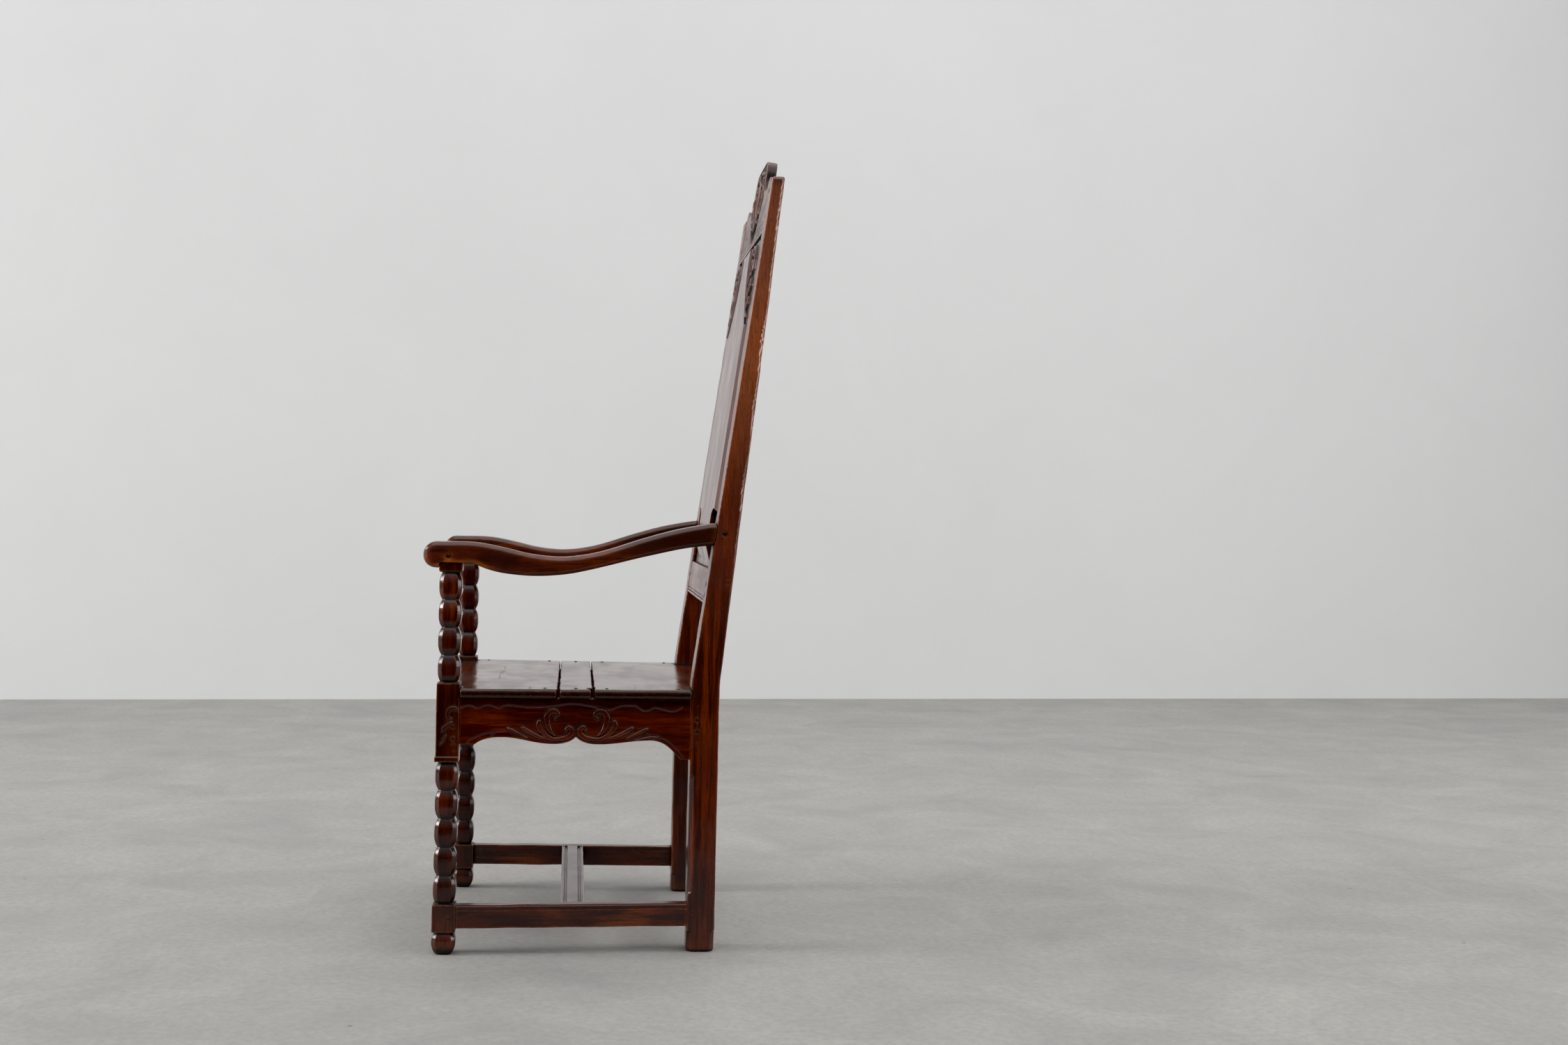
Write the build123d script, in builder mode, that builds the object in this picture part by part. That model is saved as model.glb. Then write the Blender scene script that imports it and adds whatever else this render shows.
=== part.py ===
from build123d import *
import math
import os

# Joined armchair with a panelled back. The sitter faces -Y, +X is the sitter's left.
# The origin is on the floor, in the middle of the chair's own length and width.

# ---- Frame ---------------------------------------------------------------------------
front_width = 607  # across the outer faces of the front posts
rear_width = 567  # across the outer faces of the rear stiles
frame_depth = 434.5  # front post centre to rear leg centre
post_size = 39  # side of the square front posts
stile_width = 58  # rear stile seen from the front
leg_depth = 48  # rear stile seen from the side, below the seat
stile_height = 1336
stile_top_depth = 20.7  # the stile's depth from front to back at its top
knee_rise = 10  # the stile starts to rake back this far above the seat
front_rake = 7.84  # degrees, front face of the stile above the knee
knee_radius = 220  # blend between leg and raked stile
stile_top_round = 3

# ---- Front post ----------------------------------------------------------------------
post_height = 661.6  # up to the underside of the arm
foot_width = 40
foot_flat = 24  # width of the flat that stands on the floor
block_below = 6.4  # lower block below the stretcher
block_above = 1.5  # lower block above the stretcher
leg_bead_count = 5
block_under_rail = 108  # upper block's lower end below the top of the seat rail
block_over_seat = 8.5  # upper block above the seat
arm_bead_count = 4
abacus_thickness = 16.1
abacus_chamfer = 2
bead_width = 38
bead_neck = 28
bead_cant = 7.4  # how far each corner of a bead is cut back along the face
collar_height = 8.2
collar_step = 1.7  # how far the collar stands out from the upper block
block_chamfer = 0.8  # along the upright edges of the blocks

# ---- Rear foot -----------------------------------------------------------------------
nib_height = 36
nib_chamfer = 8
nib_worn = 3.5  # chamfer worn round the edge that stands on the floor
stop_chamfer = 7.6  # width of the stopped chamfer on the leg's front outer corner
stop_chamfer_low = 96
stop_chamfer_high = 305

# ---- Joints --------------------------------------------------------------------------
tenon_thickness = 9
tenon_shoulder = 6  # how much a tenon is cut in from each edge of its rail
tenon_length = 24
tenon_wall = 2  # wood left between two mortises that meet in a post
mortise_ease = 0.1  # play on each cheek of a tenon
mortise_relief = 1.5  # room past the end of a tenon
peg_diameter = 8.2  # across the corners
peg_sides = 8  # a riven peg is whittled to facets
peg_ease = 0.05  # play round a peg
peg_setback = 10.5  # peg centre from the shoulder of its joint
peg_length = 26
crest_peg_length = 19  # the stile is thin there
peg_stand = 0.6  # how far a peg stands out
peg_spacing = 20  # between the two pegs of a joint
post_peg_drop = 48  # upper side peg of the front post below the top of the rail
front_peg_drop = 38  # upper front peg of the front post
leg_peg_drop = 35  # upper side peg of the rear leg
rear_peg_drop = 25  # upper rear peg of the rear leg
back_peg_inset = 9  # from the edge of a tenon in the back

# ---- Seat ----------------------------------------------------------------------------
seat_height = 450
board_thickness = 16
board_gap = 1.6
board_overhang = 6  # past the outer side of the frame
nosing = 1.6  # past the front of the posts
nosing_round = 6
middle_board_front = 184.5  # front edge of the middle board behind the post centre
middle_board_width = 57.5
notch_ease = 0.4
rail_thickness = 22
rail_inset = 1  # rail face behind the post's face
rear_rail_inset = 4
rear_rail_height = 70
apron_front_end = 78.4  # depth of the rail beside the front post
apron_rear_end = 103.5  # depth of the rail beside the rear leg
apron_front_peak = 66
apron_rear_peak = 71
apron_trough = 77.4
apron_cusp = 65
apron_trough_offset = 38  # from the cusp
apron_peak_offset = 126  # from the cusp
apron_front_flat = 26  # level stretch beside the front post
apron_rear_flat = 16  # level stretch beside the rear leg
front_peak_offset = 178  # from the cusp, on the front rail
nail_shank = 4  # across the corners of the square shank
nail_head = 8
nail_head_height = 1.2
nail_facets = 5  # hammered facets of the head
nail_slope = 60  # degrees the facets lean in
nail_length = 38
nail_inset = 13  # nail from the rail's outer face
nail_edge = 22  # nail from the edge of its board
nail_row = 180  # outer nails of the front and rear rows from the middle

# ---- Stretchers ----------------------------------------------------------------------
stretcher_bottom = 45
stretcher_height = 38.5
stretcher_thickness = 24
stretcher_bead = 8  # width of the bead along the top edge
stretcher_quirk = 1.5
centre_width = 41
centre_flat = 19  # flat between the mouldings of the centre stretcher
centre_thickness = 26
centre_quirk = 3  # radius of the hollow beside the flat
centre_tenon = 12

# ---- Arm -----------------------------------------------------------------------------
arm_width = 46
hand_radius = 22
hand_reach = 46.2  # nose of the hand in front of the post centre
hand_drop = 9  # how far the hand hangs below the top of the post
hand_corner = 15  # rounding of the hand seen from above
arm_seat = 36  # level stretch of the underside behind the post centre
arm_chamfer = 6  # along all four edges
arm_stations = 8  # sections the arm is shaped through
arm_tenon_height = 22
post_tenon = 19  # square tenon on top of the front post
post_tenon_height = 20
arm_peg_forward = 4.5  # peg in front of the post centre
arm_stile_peg_setback = 16  # peg behind the stile's front face
arm_peg_rise = 11.4  # peg above the top of the post
arm_low_drop = 20.4  # lowest point of the underside below the top of the post
arm_low_offset = 152  # that point behind the post centre
arm_depth = 32.6  # from the lowest point of the underside to that of the top
arm_dip_offset = 176  # lowest point of the top behind the post centre
arm_rear_rise = 39.2  # underside at the stile above the top of the post
arm_rear_depth = 36.7

# ---- Back ----------------------------------------------------------------------------
back_rail_gap = 147  # between the seat and the rail
back_rail_height = 60
back_rail_thickness = 24
back_rail_setback = 1
crest_drop = 88  # lower edge below the top of the stile
crest_rise = 64  # top above the top of the stile
crest_thickness = 18
crest_setback = 1
crest_line = 29  # scratched moulding above the crest's lower edge
crest_flat = 96  # width of the level top
crest_shoulder = 104  # half width where the raised middle drops
crest_valley_drop = 2  # valley below the top of the stile
crest_valley_offset = 146
crest_lobe_rise = 12  # lobe above the top of the stile
crest_lobe_offset = 203
lobe_drop = 9  # rounding of the lobe beside the stile
groove_width = 8
groove_depth = 11
groove_setback = 7  # groove behind the stile's front face
panel_play = 1  # room for the panel to swell in its groove
panel_ease = 0.1  # play on each face of the panel in its groove
margin_width = 12  # flat margin of the panel that shows beside the bevel
bevel_width = 26
field_proud = 3  # field in front of the stile's face
spandrel_drop = 160  # lower point of the spandrels below the crest
spandrel_inner = 72  # half width of the field between the spandrels at the top
spandrel_floor = 4  # depth of the spandrels below the field
notch_rise = 95  # top of the notched lower corner of the field above the back rail
notch_inner = 131  # half width of the field between the notches
scratch_spacing = 4.5
scratch_width = 2
scratch_depth = 1.2

# ---- Worked out ----------------------------------------------------------------------
rail_top = seat_height - board_thickness
stretcher_top = stretcher_bottom + stretcher_height
foot_height = stretcher_bottom - block_below
lower_block_top = stretcher_top + block_above
upper_block_bottom = rail_top - block_under_rail
upper_block_top = seat_height + block_over_seat
abacus_bottom = post_height - abacus_thickness
knee_height = seat_height + knee_rise
crest_bottom = stile_height - crest_drop
crest_top = stile_height + crest_rise
crest_valley = stile_height - crest_valley_drop
crest_lobe = stile_height + crest_lobe_rise
back_rail_bottom = seat_height + back_rail_gap
back_rail_top = back_rail_bottom + back_rail_height
rake_sin = math.sin(math.radians(front_rake))
rake_cos = math.cos(math.radians(front_rake))
crest_reach = frame_depth - leg_depth / 2 + (crest_top - knee_height) * rake_sin / rake_cos
crest_reach += (crest_setback + crest_thickness) * rake_cos
splay = math.atan2((front_width - rear_width) / 2, frame_depth)
arm_outset = (arm_width - post_size) / 2
hand_front = hand_corner + (hand_reach - hand_corner) * math.cos(splay)
hand_front += (arm_width - arm_outset - hand_corner) * math.sin(splay)
post_y = (hand_front - crest_reach) / 2
leg_y = post_y + frame_depth
post_x = (front_width - post_size) / 2
leg_x = (rear_width - stile_width) / 2
stile_inner = rear_width / 2 - stile_width
leg_front = leg_y - leg_depth / 2
leg_back = leg_y + leg_depth / 2
post_front = post_y - post_size / 2
post_back = post_y + post_size / 2

# Side frame: local x runs back along the chair's left side, local y is up, and the
# normal points outwards. Zero is on the outer side, level with the post's centre.
side = Plane(
    origin=(front_width / 2, post_y, 0),
    x_dir=(-math.sin(splay), math.cos(splay), 0),
    z_dir=(math.cos(splay), math.sin(splay), 0),
)
# Back frame: local x is across, local y runs up the raked front faces of the stiles from
# the knee, and the normal points at the sitter.
back = Plane(
    origin=(0, leg_front, knee_height),
    x_dir=(1, 0, 0),
    z_dir=(0, -rake_cos, rake_sin),
)


def along_side(y):
    """Distance along the side frame of a point at depth y."""
    return (y - post_y) / math.cos(splay)


def half_width(y):
    """Half the frame's outer width at depth y."""
    return front_width / 2 - (y - post_y) * math.tan(splay)


def up_back(z):
    """Distance up the raked back of a point of its front face at height z."""
    return (z - knee_height) / rake_cos


def back_point(x, z):
    """A point of the stiles' front faces at height z."""
    return (x, leg_front + (z - knee_height) * rake_sin / rake_cos, z)


os.makedirs("parts", exist_ok=True)


def finish(piece, name):
    """Label a finished piece and write it."""
    piece.part.label = name
    export_step(piece.part, f"parts/{name}.step")


def finish_pair(piece, name):
    """Write a left-hand piece and its mirrored twin."""
    finish(piece, f"left_{name}")
    with BuildPart() as twin:
        mirror(piece.part, about=Plane.YZ)
    finish(twin, f"right_{name}")


def slab(plane, x_low, x_high, y_low, y_high, near, far, mode=Mode.ADD):
    """A block on a plane, from depth near to depth far behind its surface."""
    with BuildSketch(plane.offset(-far)) as face:
        with Locations(((x_low + x_high) / 2, (y_low + y_high) / 2)):
            Rectangle(x_high - x_low, y_high - y_low)
    extrude(face.sketch, amount=far - near, mode=mode)


def side_tenon(y_low, y_high, z_low, z_high, rail_depth, ease=0, mode=Mode.ADD):
    """A tenon of the side frame, centred rail_depth inside the outer side."""
    near = rail_depth - tenon_thickness / 2 - ease
    far = rail_depth + tenon_thickness / 2 + ease
    start = along_side(y_low)
    end = along_side(y_high)
    slab(side, start, end, z_low - ease, z_high + ease, near, far, mode)


def cross_tenon(x_low, x_high, y, z_low, z_high, ease=0, mode=Mode.ADD):
    """A tenon that runs across the chair, centred at depth y."""
    near = y - tenon_thickness / 2 - ease
    far = y + tenon_thickness / 2 + ease
    slab(Plane.XZ, x_low, x_high, z_low - ease, z_high + ease, near, far, mode)


def back_tenon(x_low, x_high, z_low, z_high, depth, ease=0, mode=Mode.ADD):
    """A tenon that runs across the raked back, centred depth behind the stile's face."""
    near = depth - tenon_thickness / 2 - ease
    far = depth + tenon_thickness / 2 + ease
    low = up_back(z_low) - ease
    high = up_back(z_high) + ease
    slab(back, x_low, x_high, low, high, near, far, mode)


# ---- Where the joints lie ------------------------------------------------------------
side_rail_depth = rail_inset + rail_thickness / 2
front_rail_y = post_front + rail_inset + rail_thickness / 2
rear_rail_y = leg_back - rear_rail_inset - rail_thickness / 2
stretcher_depth = rail_inset + stretcher_thickness / 2
middle_front = post_y + middle_board_front
middle_back = middle_front + middle_board_width
stretcher_middle = (post_back + leg_front) / 2
tenon_top = rail_top - tenon_shoulder
front_tenon_low = rail_top - apron_front_end + tenon_shoulder
rear_tenon_low = rail_top - apron_rear_end + tenon_shoulder
rear_rail_bottom = rail_top - rear_rail_height
stretcher_low = stretcher_bottom + tenon_shoulder
stretcher_high = stretcher_top - tenon_shoulder
# In a front post the two rail tenons stop short of each other's cheek.
corner_cheek = rail_inset + (rail_thickness + tenon_thickness) / 2 + tenon_wall + mortise_relief
side_tenon_start = post_front + corner_cheek
side_tenon_end = leg_front + tenon_length
front_tenon_end = front_width / 2 - corner_cheek
stile_tenon_end = stile_inner + tenon_length
stretcher_tenon_start = post_back - tenon_length
back_rail_depth = back_rail_setback + back_rail_thickness / 2
back_rail_tenon_low = back_rail_bottom + tenon_shoulder
back_rail_tenon_high = back_rail_top - tenon_shoulder - groove_depth
crest_depth = crest_setback + crest_thickness / 2
crest_tenon_low = crest_bottom + tenon_shoulder + groove_depth
crest_tenon_high = crest_valley - tenon_shoulder
arm_low = post_height - arm_low_drop
arm_rear_bottom = post_height + arm_rear_rise
arm_middle = arm_rear_bottom + arm_rear_depth / 2
arm_tenon_low = arm_middle - arm_tenon_height / 2
arm_tenon_high = arm_middle + arm_tenon_height / 2
arm_shoulder = leg_front + (arm_middle - knee_height) * math.tan(math.radians(front_rake))

# Pegs of the left side: how long, then a point on the surface and the way into the wood.
into_side = (-1, 0, 0)
into_back = (0, rake_cos, -rake_sin)
post_peg_y = post_back - peg_setback
leg_peg_y = leg_front + peg_setback
back_peg_x = stile_inner + peg_setback
front_peg_x = front_width / 2 - post_size + peg_setback
stretcher_peg_height = (stretcher_low + stretcher_high) / 2
post_peg_high = rail_top - post_peg_drop
front_peg_high = rail_top - front_peg_drop
leg_peg_high = rail_top - leg_peg_drop
rear_peg_high = rail_top - rear_peg_drop
peg_places = {
    "arm_post_pegs": (peg_length, [
        ((front_width / 2 + arm_outset, post_y - arm_peg_forward, post_height + arm_peg_rise),
         into_side),
    ]),
    "arm_stile_pegs": (peg_length, [
        ((rear_width / 2, arm_shoulder + arm_stile_peg_setback, arm_middle), into_side),
    ]),
    "side_rail_pegs": (peg_length, [
        ((front_width / 2, post_peg_y, post_peg_high), into_side),
        ((front_width / 2, post_peg_y, post_peg_high - peg_spacing), into_side),
        ((rear_width / 2, leg_peg_y, leg_peg_high), into_side),
        ((rear_width / 2, leg_peg_y, leg_peg_high - peg_spacing), into_side),
    ]),
    "front_rail_pegs": (peg_length, [
        ((front_peg_x, post_front, front_peg_high), (0, 1, 0)),
        ((front_peg_x, post_front, front_peg_high - peg_spacing), (0, 1, 0)),
    ]),
    "rear_rail_pegs": (peg_length, [
        ((back_peg_x, leg_back, rear_peg_high), (0, -1, 0)),
        ((back_peg_x, leg_back, rear_peg_high - peg_spacing), (0, -1, 0)),
    ]),
    "stretcher_pegs": (peg_length, [
        ((front_width / 2, post_peg_y, stretcher_peg_height), into_side),
        ((rear_width / 2, leg_peg_y, stretcher_peg_height), into_side),
    ]),
    "back_rail_pegs": (peg_length, [
        (back_point(back_peg_x, back_rail_tenon_low + back_peg_inset), into_back),
        (back_point(back_peg_x, back_rail_tenon_high - back_peg_inset), into_back),
    ]),
    "crest_pegs": (crest_peg_length, [
        (back_point(back_peg_x, crest_tenon_low + back_peg_inset), into_back),
        (back_point(back_peg_x, crest_tenon_high - back_peg_inset), into_back),
    ]),
}
# Seat nails of the left side: two or one in each end of a board, and rows front and back.
nail_depths = [
    post_back + nail_edge,
    middle_front - board_gap - nail_edge,
    (middle_front + middle_back) / 2,
    middle_back + board_gap + nail_edge,
    leg_front - nail_edge,
]
nail_places = [(half_width(y) - nail_inset, y) for y in nail_depths]
for x in (0, nail_row):
    nail_places.append((x, front_rail_y))
    nail_places.append((x, rear_rail_y))


def pin(point, direction, length, diameter, sides, stand=0, mode=Mode.ADD):
    """A pin of so many sides that runs from a point along a direction, standing out behind it."""
    bottom = Plane(origin=point, z_dir=direction).offset(-stand)
    with BuildSketch(bottom) as end:
        RegularPolygon(diameter / 2, sides)
    extrude(end.sketch, amount=length + stand, mode=mode)


def top_tenon(relief=0, ease=0, mode=Mode.ADD):
    """The square tenon on the front post, which stands in the arm."""
    half = post_tenon / 2 + ease
    slab(Plane.XY, post_x - half, post_x + half, post_y - half, post_y + half,
         -post_height - post_tenon_height - relief, -post_height, mode)


def drive_nails(mode=Mode.ADD):
    """The left-hand seat nails, or the holes they are driven into."""
    ease = 0 if mode == Mode.ADD else peg_ease
    for x, y in nail_places:
        pin((x, y, seat_height), (0, 0, -1), nail_length + ease, nail_shank + 2 * ease, 4, 0, mode)


def centre_joint(relief=0, ease=0, mode=Mode.ADD):
    """The flat tenon of the centre stretcher, which enters the side stretcher."""
    inner_face = half_width(stretcher_middle) - rail_inset - stretcher_thickness
    across = centre_width / 2 - tenon_shoulder + ease
    middle_height = stretcher_top - centre_thickness / 2
    slab(Plane.XY, inner_face - centre_tenon, inner_face + centre_tenon + relief,
         stretcher_middle - across, stretcher_middle + across,
         -middle_height - tenon_thickness / 2 - ease, -middle_height + tenon_thickness / 2 + ease, mode)


def peg_holes(*names):
    """Bore the left-hand peg holes of the named sets."""
    for name in names:
        length, places = peg_places[name]
        for point, direction in places:
            bore = peg_diameter + 2 * peg_ease
            pin(point, direction, length + peg_ease, bore, peg_sides, length, Mode.SUBTRACT)


# ---- Left front post -----------------------------------------------------------------
def beads(height, count, low_half, belly_half, high_half):
    """A chain of beads of square section with canted corners, standing at the origin."""
    cant = (2 * belly_half - bead_cant) / math.sqrt(2) / belly_half
    pitch = height / count
    with BuildPart() as chain:
        for turn in range(4):
            angle = math.radians(45 * turn)
            reach = cant if turn % 2 else 1
            view = Plane(
                origin=(0, 0, 0),
                x_dir=(math.cos(angle), math.sin(angle), 0),
                z_dir=(math.sin(angle), -math.cos(angle), 0),
            )
            with BuildSketch(view):
                with BuildLine() as outline:
                    for bead in range(count):
                        foot = pitch * bead
                        ThreePointArc(
                            (low_half * reach, foot),
                            (belly_half * reach, foot + pitch / 2),
                            (high_half * reach, foot + pitch),
                        )
                    Line((high_half * reach, height), (0, height))
                    Line((low_half * reach, 0), (0, 0))
                    mirror(about=Plane.YZ)
                make_face()
            extrude(
                amount=2 * belly_half,
                both=True,
                mode=Mode.INTERSECT if turn else Mode.ADD,
            )
    return chain.part


def block(size, low, high, ahead=0, outside=0):
    """A square block of the front post, with its upright edges softened."""
    with BuildSketch(Plane.XY.offset(low)) as section:
        with Locations((post_x + outside / 2, post_y - ahead / 2)):
            Rectangle(size + outside, size + ahead)
        chamfer(section.vertices(), block_chamfer)
    extrude(section.sketch, amount=high - low)


leg_beads = beads(
    upper_block_bottom - lower_block_top, leg_bead_count, bead_neck / 2, bead_width / 2, bead_neck / 2
)
arm_beads = beads(
    abacus_bottom - upper_block_top, arm_bead_count, bead_neck / 2, bead_width / 2, bead_neck / 2
)
foot_bead = beads(foot_height, 1, foot_flat / 2, foot_width / 2, bead_neck / 2)

with BuildPart() as front_post:
    block(post_size, foot_height, lower_block_top)
    block(post_size, upper_block_bottom, upper_block_top)
    block(post_size, upper_block_bottom, upper_block_bottom + collar_height, collar_step, collar_step)
    block(post_size, abacus_bottom + abacus_chamfer, post_height)
    with BuildSketch(Plane.XY.offset(abacus_bottom + abacus_chamfer)) as chamfered:
        with Locations((post_x, post_y)):
            Rectangle(post_size, post_size)
    extrude(chamfered.sketch, amount=-abacus_chamfer, taper=45)
    for column, base in ((foot_bead, 0), (leg_beads, lower_block_top), (arm_beads, upper_block_top)):
        with Locations((post_x, post_y, base)):
            add(column)
    top_tenon()
    side_tenon(side_tenon_start - mortise_relief, post_back + tenon_wall, front_tenon_low, tenon_top,
               side_rail_depth, mortise_ease, Mode.SUBTRACT)
    cross_tenon(front_width / 2 - post_size, front_tenon_end + mortise_relief, front_rail_y,
                front_tenon_low, tenon_top, mortise_ease, Mode.SUBTRACT)
    side_tenon(stretcher_tenon_start - mortise_relief, post_back + tenon_wall, stretcher_low,
               stretcher_high, stretcher_depth, mortise_ease, Mode.SUBTRACT)
    peg_holes("arm_post_pegs", "side_rail_pegs", "front_rail_pegs", "stretcher_pegs")
finish_pair(front_post, "front_post")

# ---- Left rear stile -----------------------------------------------------------------
top_front = leg_front + (stile_height - knee_height) * math.tan(math.radians(front_rake))
top_back = top_front + stile_top_depth
with BuildPart() as rear_stile:
    with BuildSketch(Plane.YZ.offset(stile_inner)):
        with BuildLine():
            Polyline(
                (leg_front, 0),
                (leg_front, knee_height),
                (top_front, stile_height),
                (top_back, stile_height),
                (leg_back, knee_height),
                (leg_back, 0),
                close=True,
            )
        make_face()
        knees = vertices().filter_by_position(Axis.Y, knee_height - 1, knee_height + 1)
        fillet(knees, knee_radius)
        fillet(vertices().group_by(Axis.Y)[-1], stile_top_round)
    extrude(amount=stile_width)
    # The foot: canted corners and a worn lower edge
    with BuildSketch(Plane.XY) as foot_corners:
        with Locations((leg_x, leg_y)):
            Rectangle(stile_width, leg_depth)
            with BuildSketch(mode=Mode.PRIVATE) as canted:
                with Locations((leg_x, leg_y)):
                    Rectangle(stile_width, leg_depth)
                chamfer(canted.vertices(), nib_chamfer)
        add(canted.sketch, mode=Mode.SUBTRACT)
    extrude(amount=nib_height, mode=Mode.SUBTRACT)
    chamfer(rear_stile.faces().sort_by(Axis.Z)[0].edges(), nib_worn)
    # The stopped chamfer on the leg's front outer corner
    depth = stop_chamfer / math.sqrt(2)
    corner = Plane(origin=(rear_width / 2, leg_front, 0), x_dir=(-1, 1, 0), z_dir=(1, 1, 0))
    with BuildSketch(corner):
        with BuildLine():
            Polyline(
                (-1, stop_chamfer_low - 1),
                (depth, stop_chamfer_low + depth),
                (depth, stop_chamfer_high - depth),
                (-1, stop_chamfer_high + 1),
                close=True,
            )
        make_face()
    extrude(amount=stop_chamfer, both=True, mode=Mode.SUBTRACT)
    side_tenon(leg_front, side_tenon_end + mortise_relief, rear_tenon_low, tenon_top,
               side_rail_depth, mortise_ease, Mode.SUBTRACT)
    side_tenon(leg_front, side_tenon_end + mortise_relief, stretcher_low, stretcher_high,
               stretcher_depth, mortise_ease, Mode.SUBTRACT)
    side_tenon(leg_front, arm_shoulder + tenon_length + mortise_relief, arm_tenon_low, arm_tenon_high,
               post_size / 2, mortise_ease, Mode.SUBTRACT)
    cross_tenon(stile_inner, stile_tenon_end + mortise_relief, rear_rail_y,
                rear_rail_bottom + tenon_shoulder, tenon_top, mortise_ease, Mode.SUBTRACT)
    back_tenon(stile_inner, stile_tenon_end + mortise_relief, back_rail_tenon_low,
               back_rail_tenon_high, back_rail_depth, mortise_ease, Mode.SUBTRACT)
    back_tenon(stile_inner, stile_tenon_end + mortise_relief, crest_tenon_low,
               crest_tenon_high, crest_depth, mortise_ease, Mode.SUBTRACT)
    slab(back, stile_inner, stile_inner + groove_depth, up_back(back_rail_top) - groove_depth,
         up_back(crest_bottom) + groove_depth, groove_setback, groove_setback + groove_width, Mode.SUBTRACT)
    peg_holes("arm_stile_pegs", "side_rail_pegs", "rear_rail_pegs", "stretcher_pegs",
              "back_rail_pegs", "crest_pegs")
finish_pair(rear_stile, "rear_stile")

# ---- Left arm ------------------------------------------------------------------------
hand_middle = hand_radius - hand_reach
hand_bottom = post_height - hand_drop
hand_top = hand_bottom + 2 * hand_radius
arm_end = along_side(arm_shoulder) + tenon_length
across = side.z_dir * -1
under = Spline(
    (hand_middle, hand_bottom),
    (arm_low_offset, arm_low),
    (arm_end, arm_rear_bottom),
    tangents=((1, 0), (1, 0.05)),
)
upper = Spline(
    (hand_middle, hand_top),
    (arm_dip_offset, arm_low + arm_depth),
    (arm_end, arm_rear_bottom + arm_rear_depth),
    tangents=((1, 0.12), (1, 0.05)),
)
with BuildPart() as arm:
    # The nose of the hand
    with BuildSketch(side.offset(arm_outset)):
        with BuildLine():
            ThreePointArc(
                (hand_middle, hand_top),
                (-hand_reach, hand_bottom + hand_radius),
                (hand_middle, hand_bottom),
            )
            Line((hand_middle, hand_bottom), (hand_middle, hand_top))
        make_face()
    extrude(amount=-arm_width)
    chamfer(edges().filter_by(GeomType.CIRCLE), arm_chamfer)
    with BuildSketch(Plane(origin=side.origin, x_dir=side.x_dir, z_dir=(0, 0, 1))):
        with Locations((0, arm_width / 2 - arm_outset)):
            RectangleRounded(2 * hand_reach, arm_width, hand_corner)
    extrude(amount=stile_height, mode=Mode.INTERSECT)
    # The serpentine, through chamfered sections square to its run
    for station in range(arm_stations + 1):
        low = under @ (station / arm_stations)
        high = upper @ (station / arm_stations)
        middle = (low + high) / 2
        rise = side.x_dir * (high.X - low.X) + side.y_dir * (high.Y - low.Y)
        centre = side.from_local_coords((middle.X, middle.Y, arm_outset - arm_width / 2))
        with BuildSketch(Plane(origin=centre, x_dir=across, z_dir=across.cross(rise))) as section:
            Rectangle(arm_width, rise.length)
            chamfer(section.vertices(), arm_chamfer)
    loft()
    # The seat that the post stands up to
    with BuildSketch(side.offset(arm_outset)):
        with BuildLine():
            Polyline(
                (arm_seat, post_height),
                (-post_size / 2, post_height),
                (-post_size / 2, hand_bottom - hand_radius),
                (arm_low_offset, hand_bottom - hand_radius),
                (arm_low_offset, arm_low),
            )
            Spline(
                (arm_seat, post_height),
                (arm_low_offset, arm_low),
                tangents=((1, -0.55), (1, 0)),
            )
        make_face()
    extrude(amount=-arm_width, mode=Mode.SUBTRACT)
    slab(back, 0, front_width, 0, stile_height, 0, frame_depth, Mode.SUBTRACT)
    side_tenon(arm_shoulder - tenon_thickness, arm_shoulder + tenon_length, arm_tenon_low,
               arm_tenon_high, post_size / 2)
    top_tenon(mortise_relief, mortise_ease, Mode.SUBTRACT)
    peg_holes("arm_post_pegs", "arm_stile_pegs")
finish_pair(arm, "arm")


# ---- Seat rails ----------------------------------------------------------------------
def apron_half(cusp, peak_offset, peak, end, end_depth, flat):
    """Lower edge from the cusp to one end, through a trough and a peak."""
    way = 1 if end > cusp else -1
    trough = (cusp + way * apron_trough_offset, rail_top - apron_trough)
    crown = (cusp + way * peak_offset, rail_top - peak)
    Spline((cusp, rail_top - apron_cusp), trough, tangents=((way, -1.2), (way, 0)))
    Spline(trough, crown, tangents=((way, 0), (way, 0)))
    Spline(crown, (end - way * flat, rail_top - end_depth), tangents=((way, 0), (way, -0.9)))
    Polyline((end - way * flat, rail_top - end_depth), (end, rail_top - end_depth), (end, rail_top))


with BuildPart() as side_rail:
    with BuildSketch(side.offset(-rail_inset)):
        with BuildLine():
            rail_start = along_side(post_back) - tenon_wall
            rail_end = along_side(leg_front) + tenon_wall
            cusp = along_side((post_back + leg_front) / 2)
            apron_half(cusp, apron_peak_offset, apron_front_peak, rail_start, apron_front_end,
                       apron_front_flat + tenon_wall)
            apron_half(cusp, apron_peak_offset, apron_rear_peak, rail_end, apron_rear_end,
                       apron_rear_flat + tenon_wall)
            Line((rail_start, rail_top), (rail_end, rail_top))
        make_face()
    extrude(amount=-rail_thickness)
    slab(Plane.XY, 0, front_width, post_back, leg_front, -rail_top, 0, Mode.INTERSECT)
    side_tenon(side_tenon_start, post_back + tenon_wall, front_tenon_low, tenon_top, side_rail_depth)
    side_tenon(leg_front - tenon_wall, side_tenon_end, rear_tenon_low, tenon_top, side_rail_depth)
    peg_holes("side_rail_pegs")
    drive_nails(Mode.SUBTRACT)
finish_pair(side_rail, "seat_rail")

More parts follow.
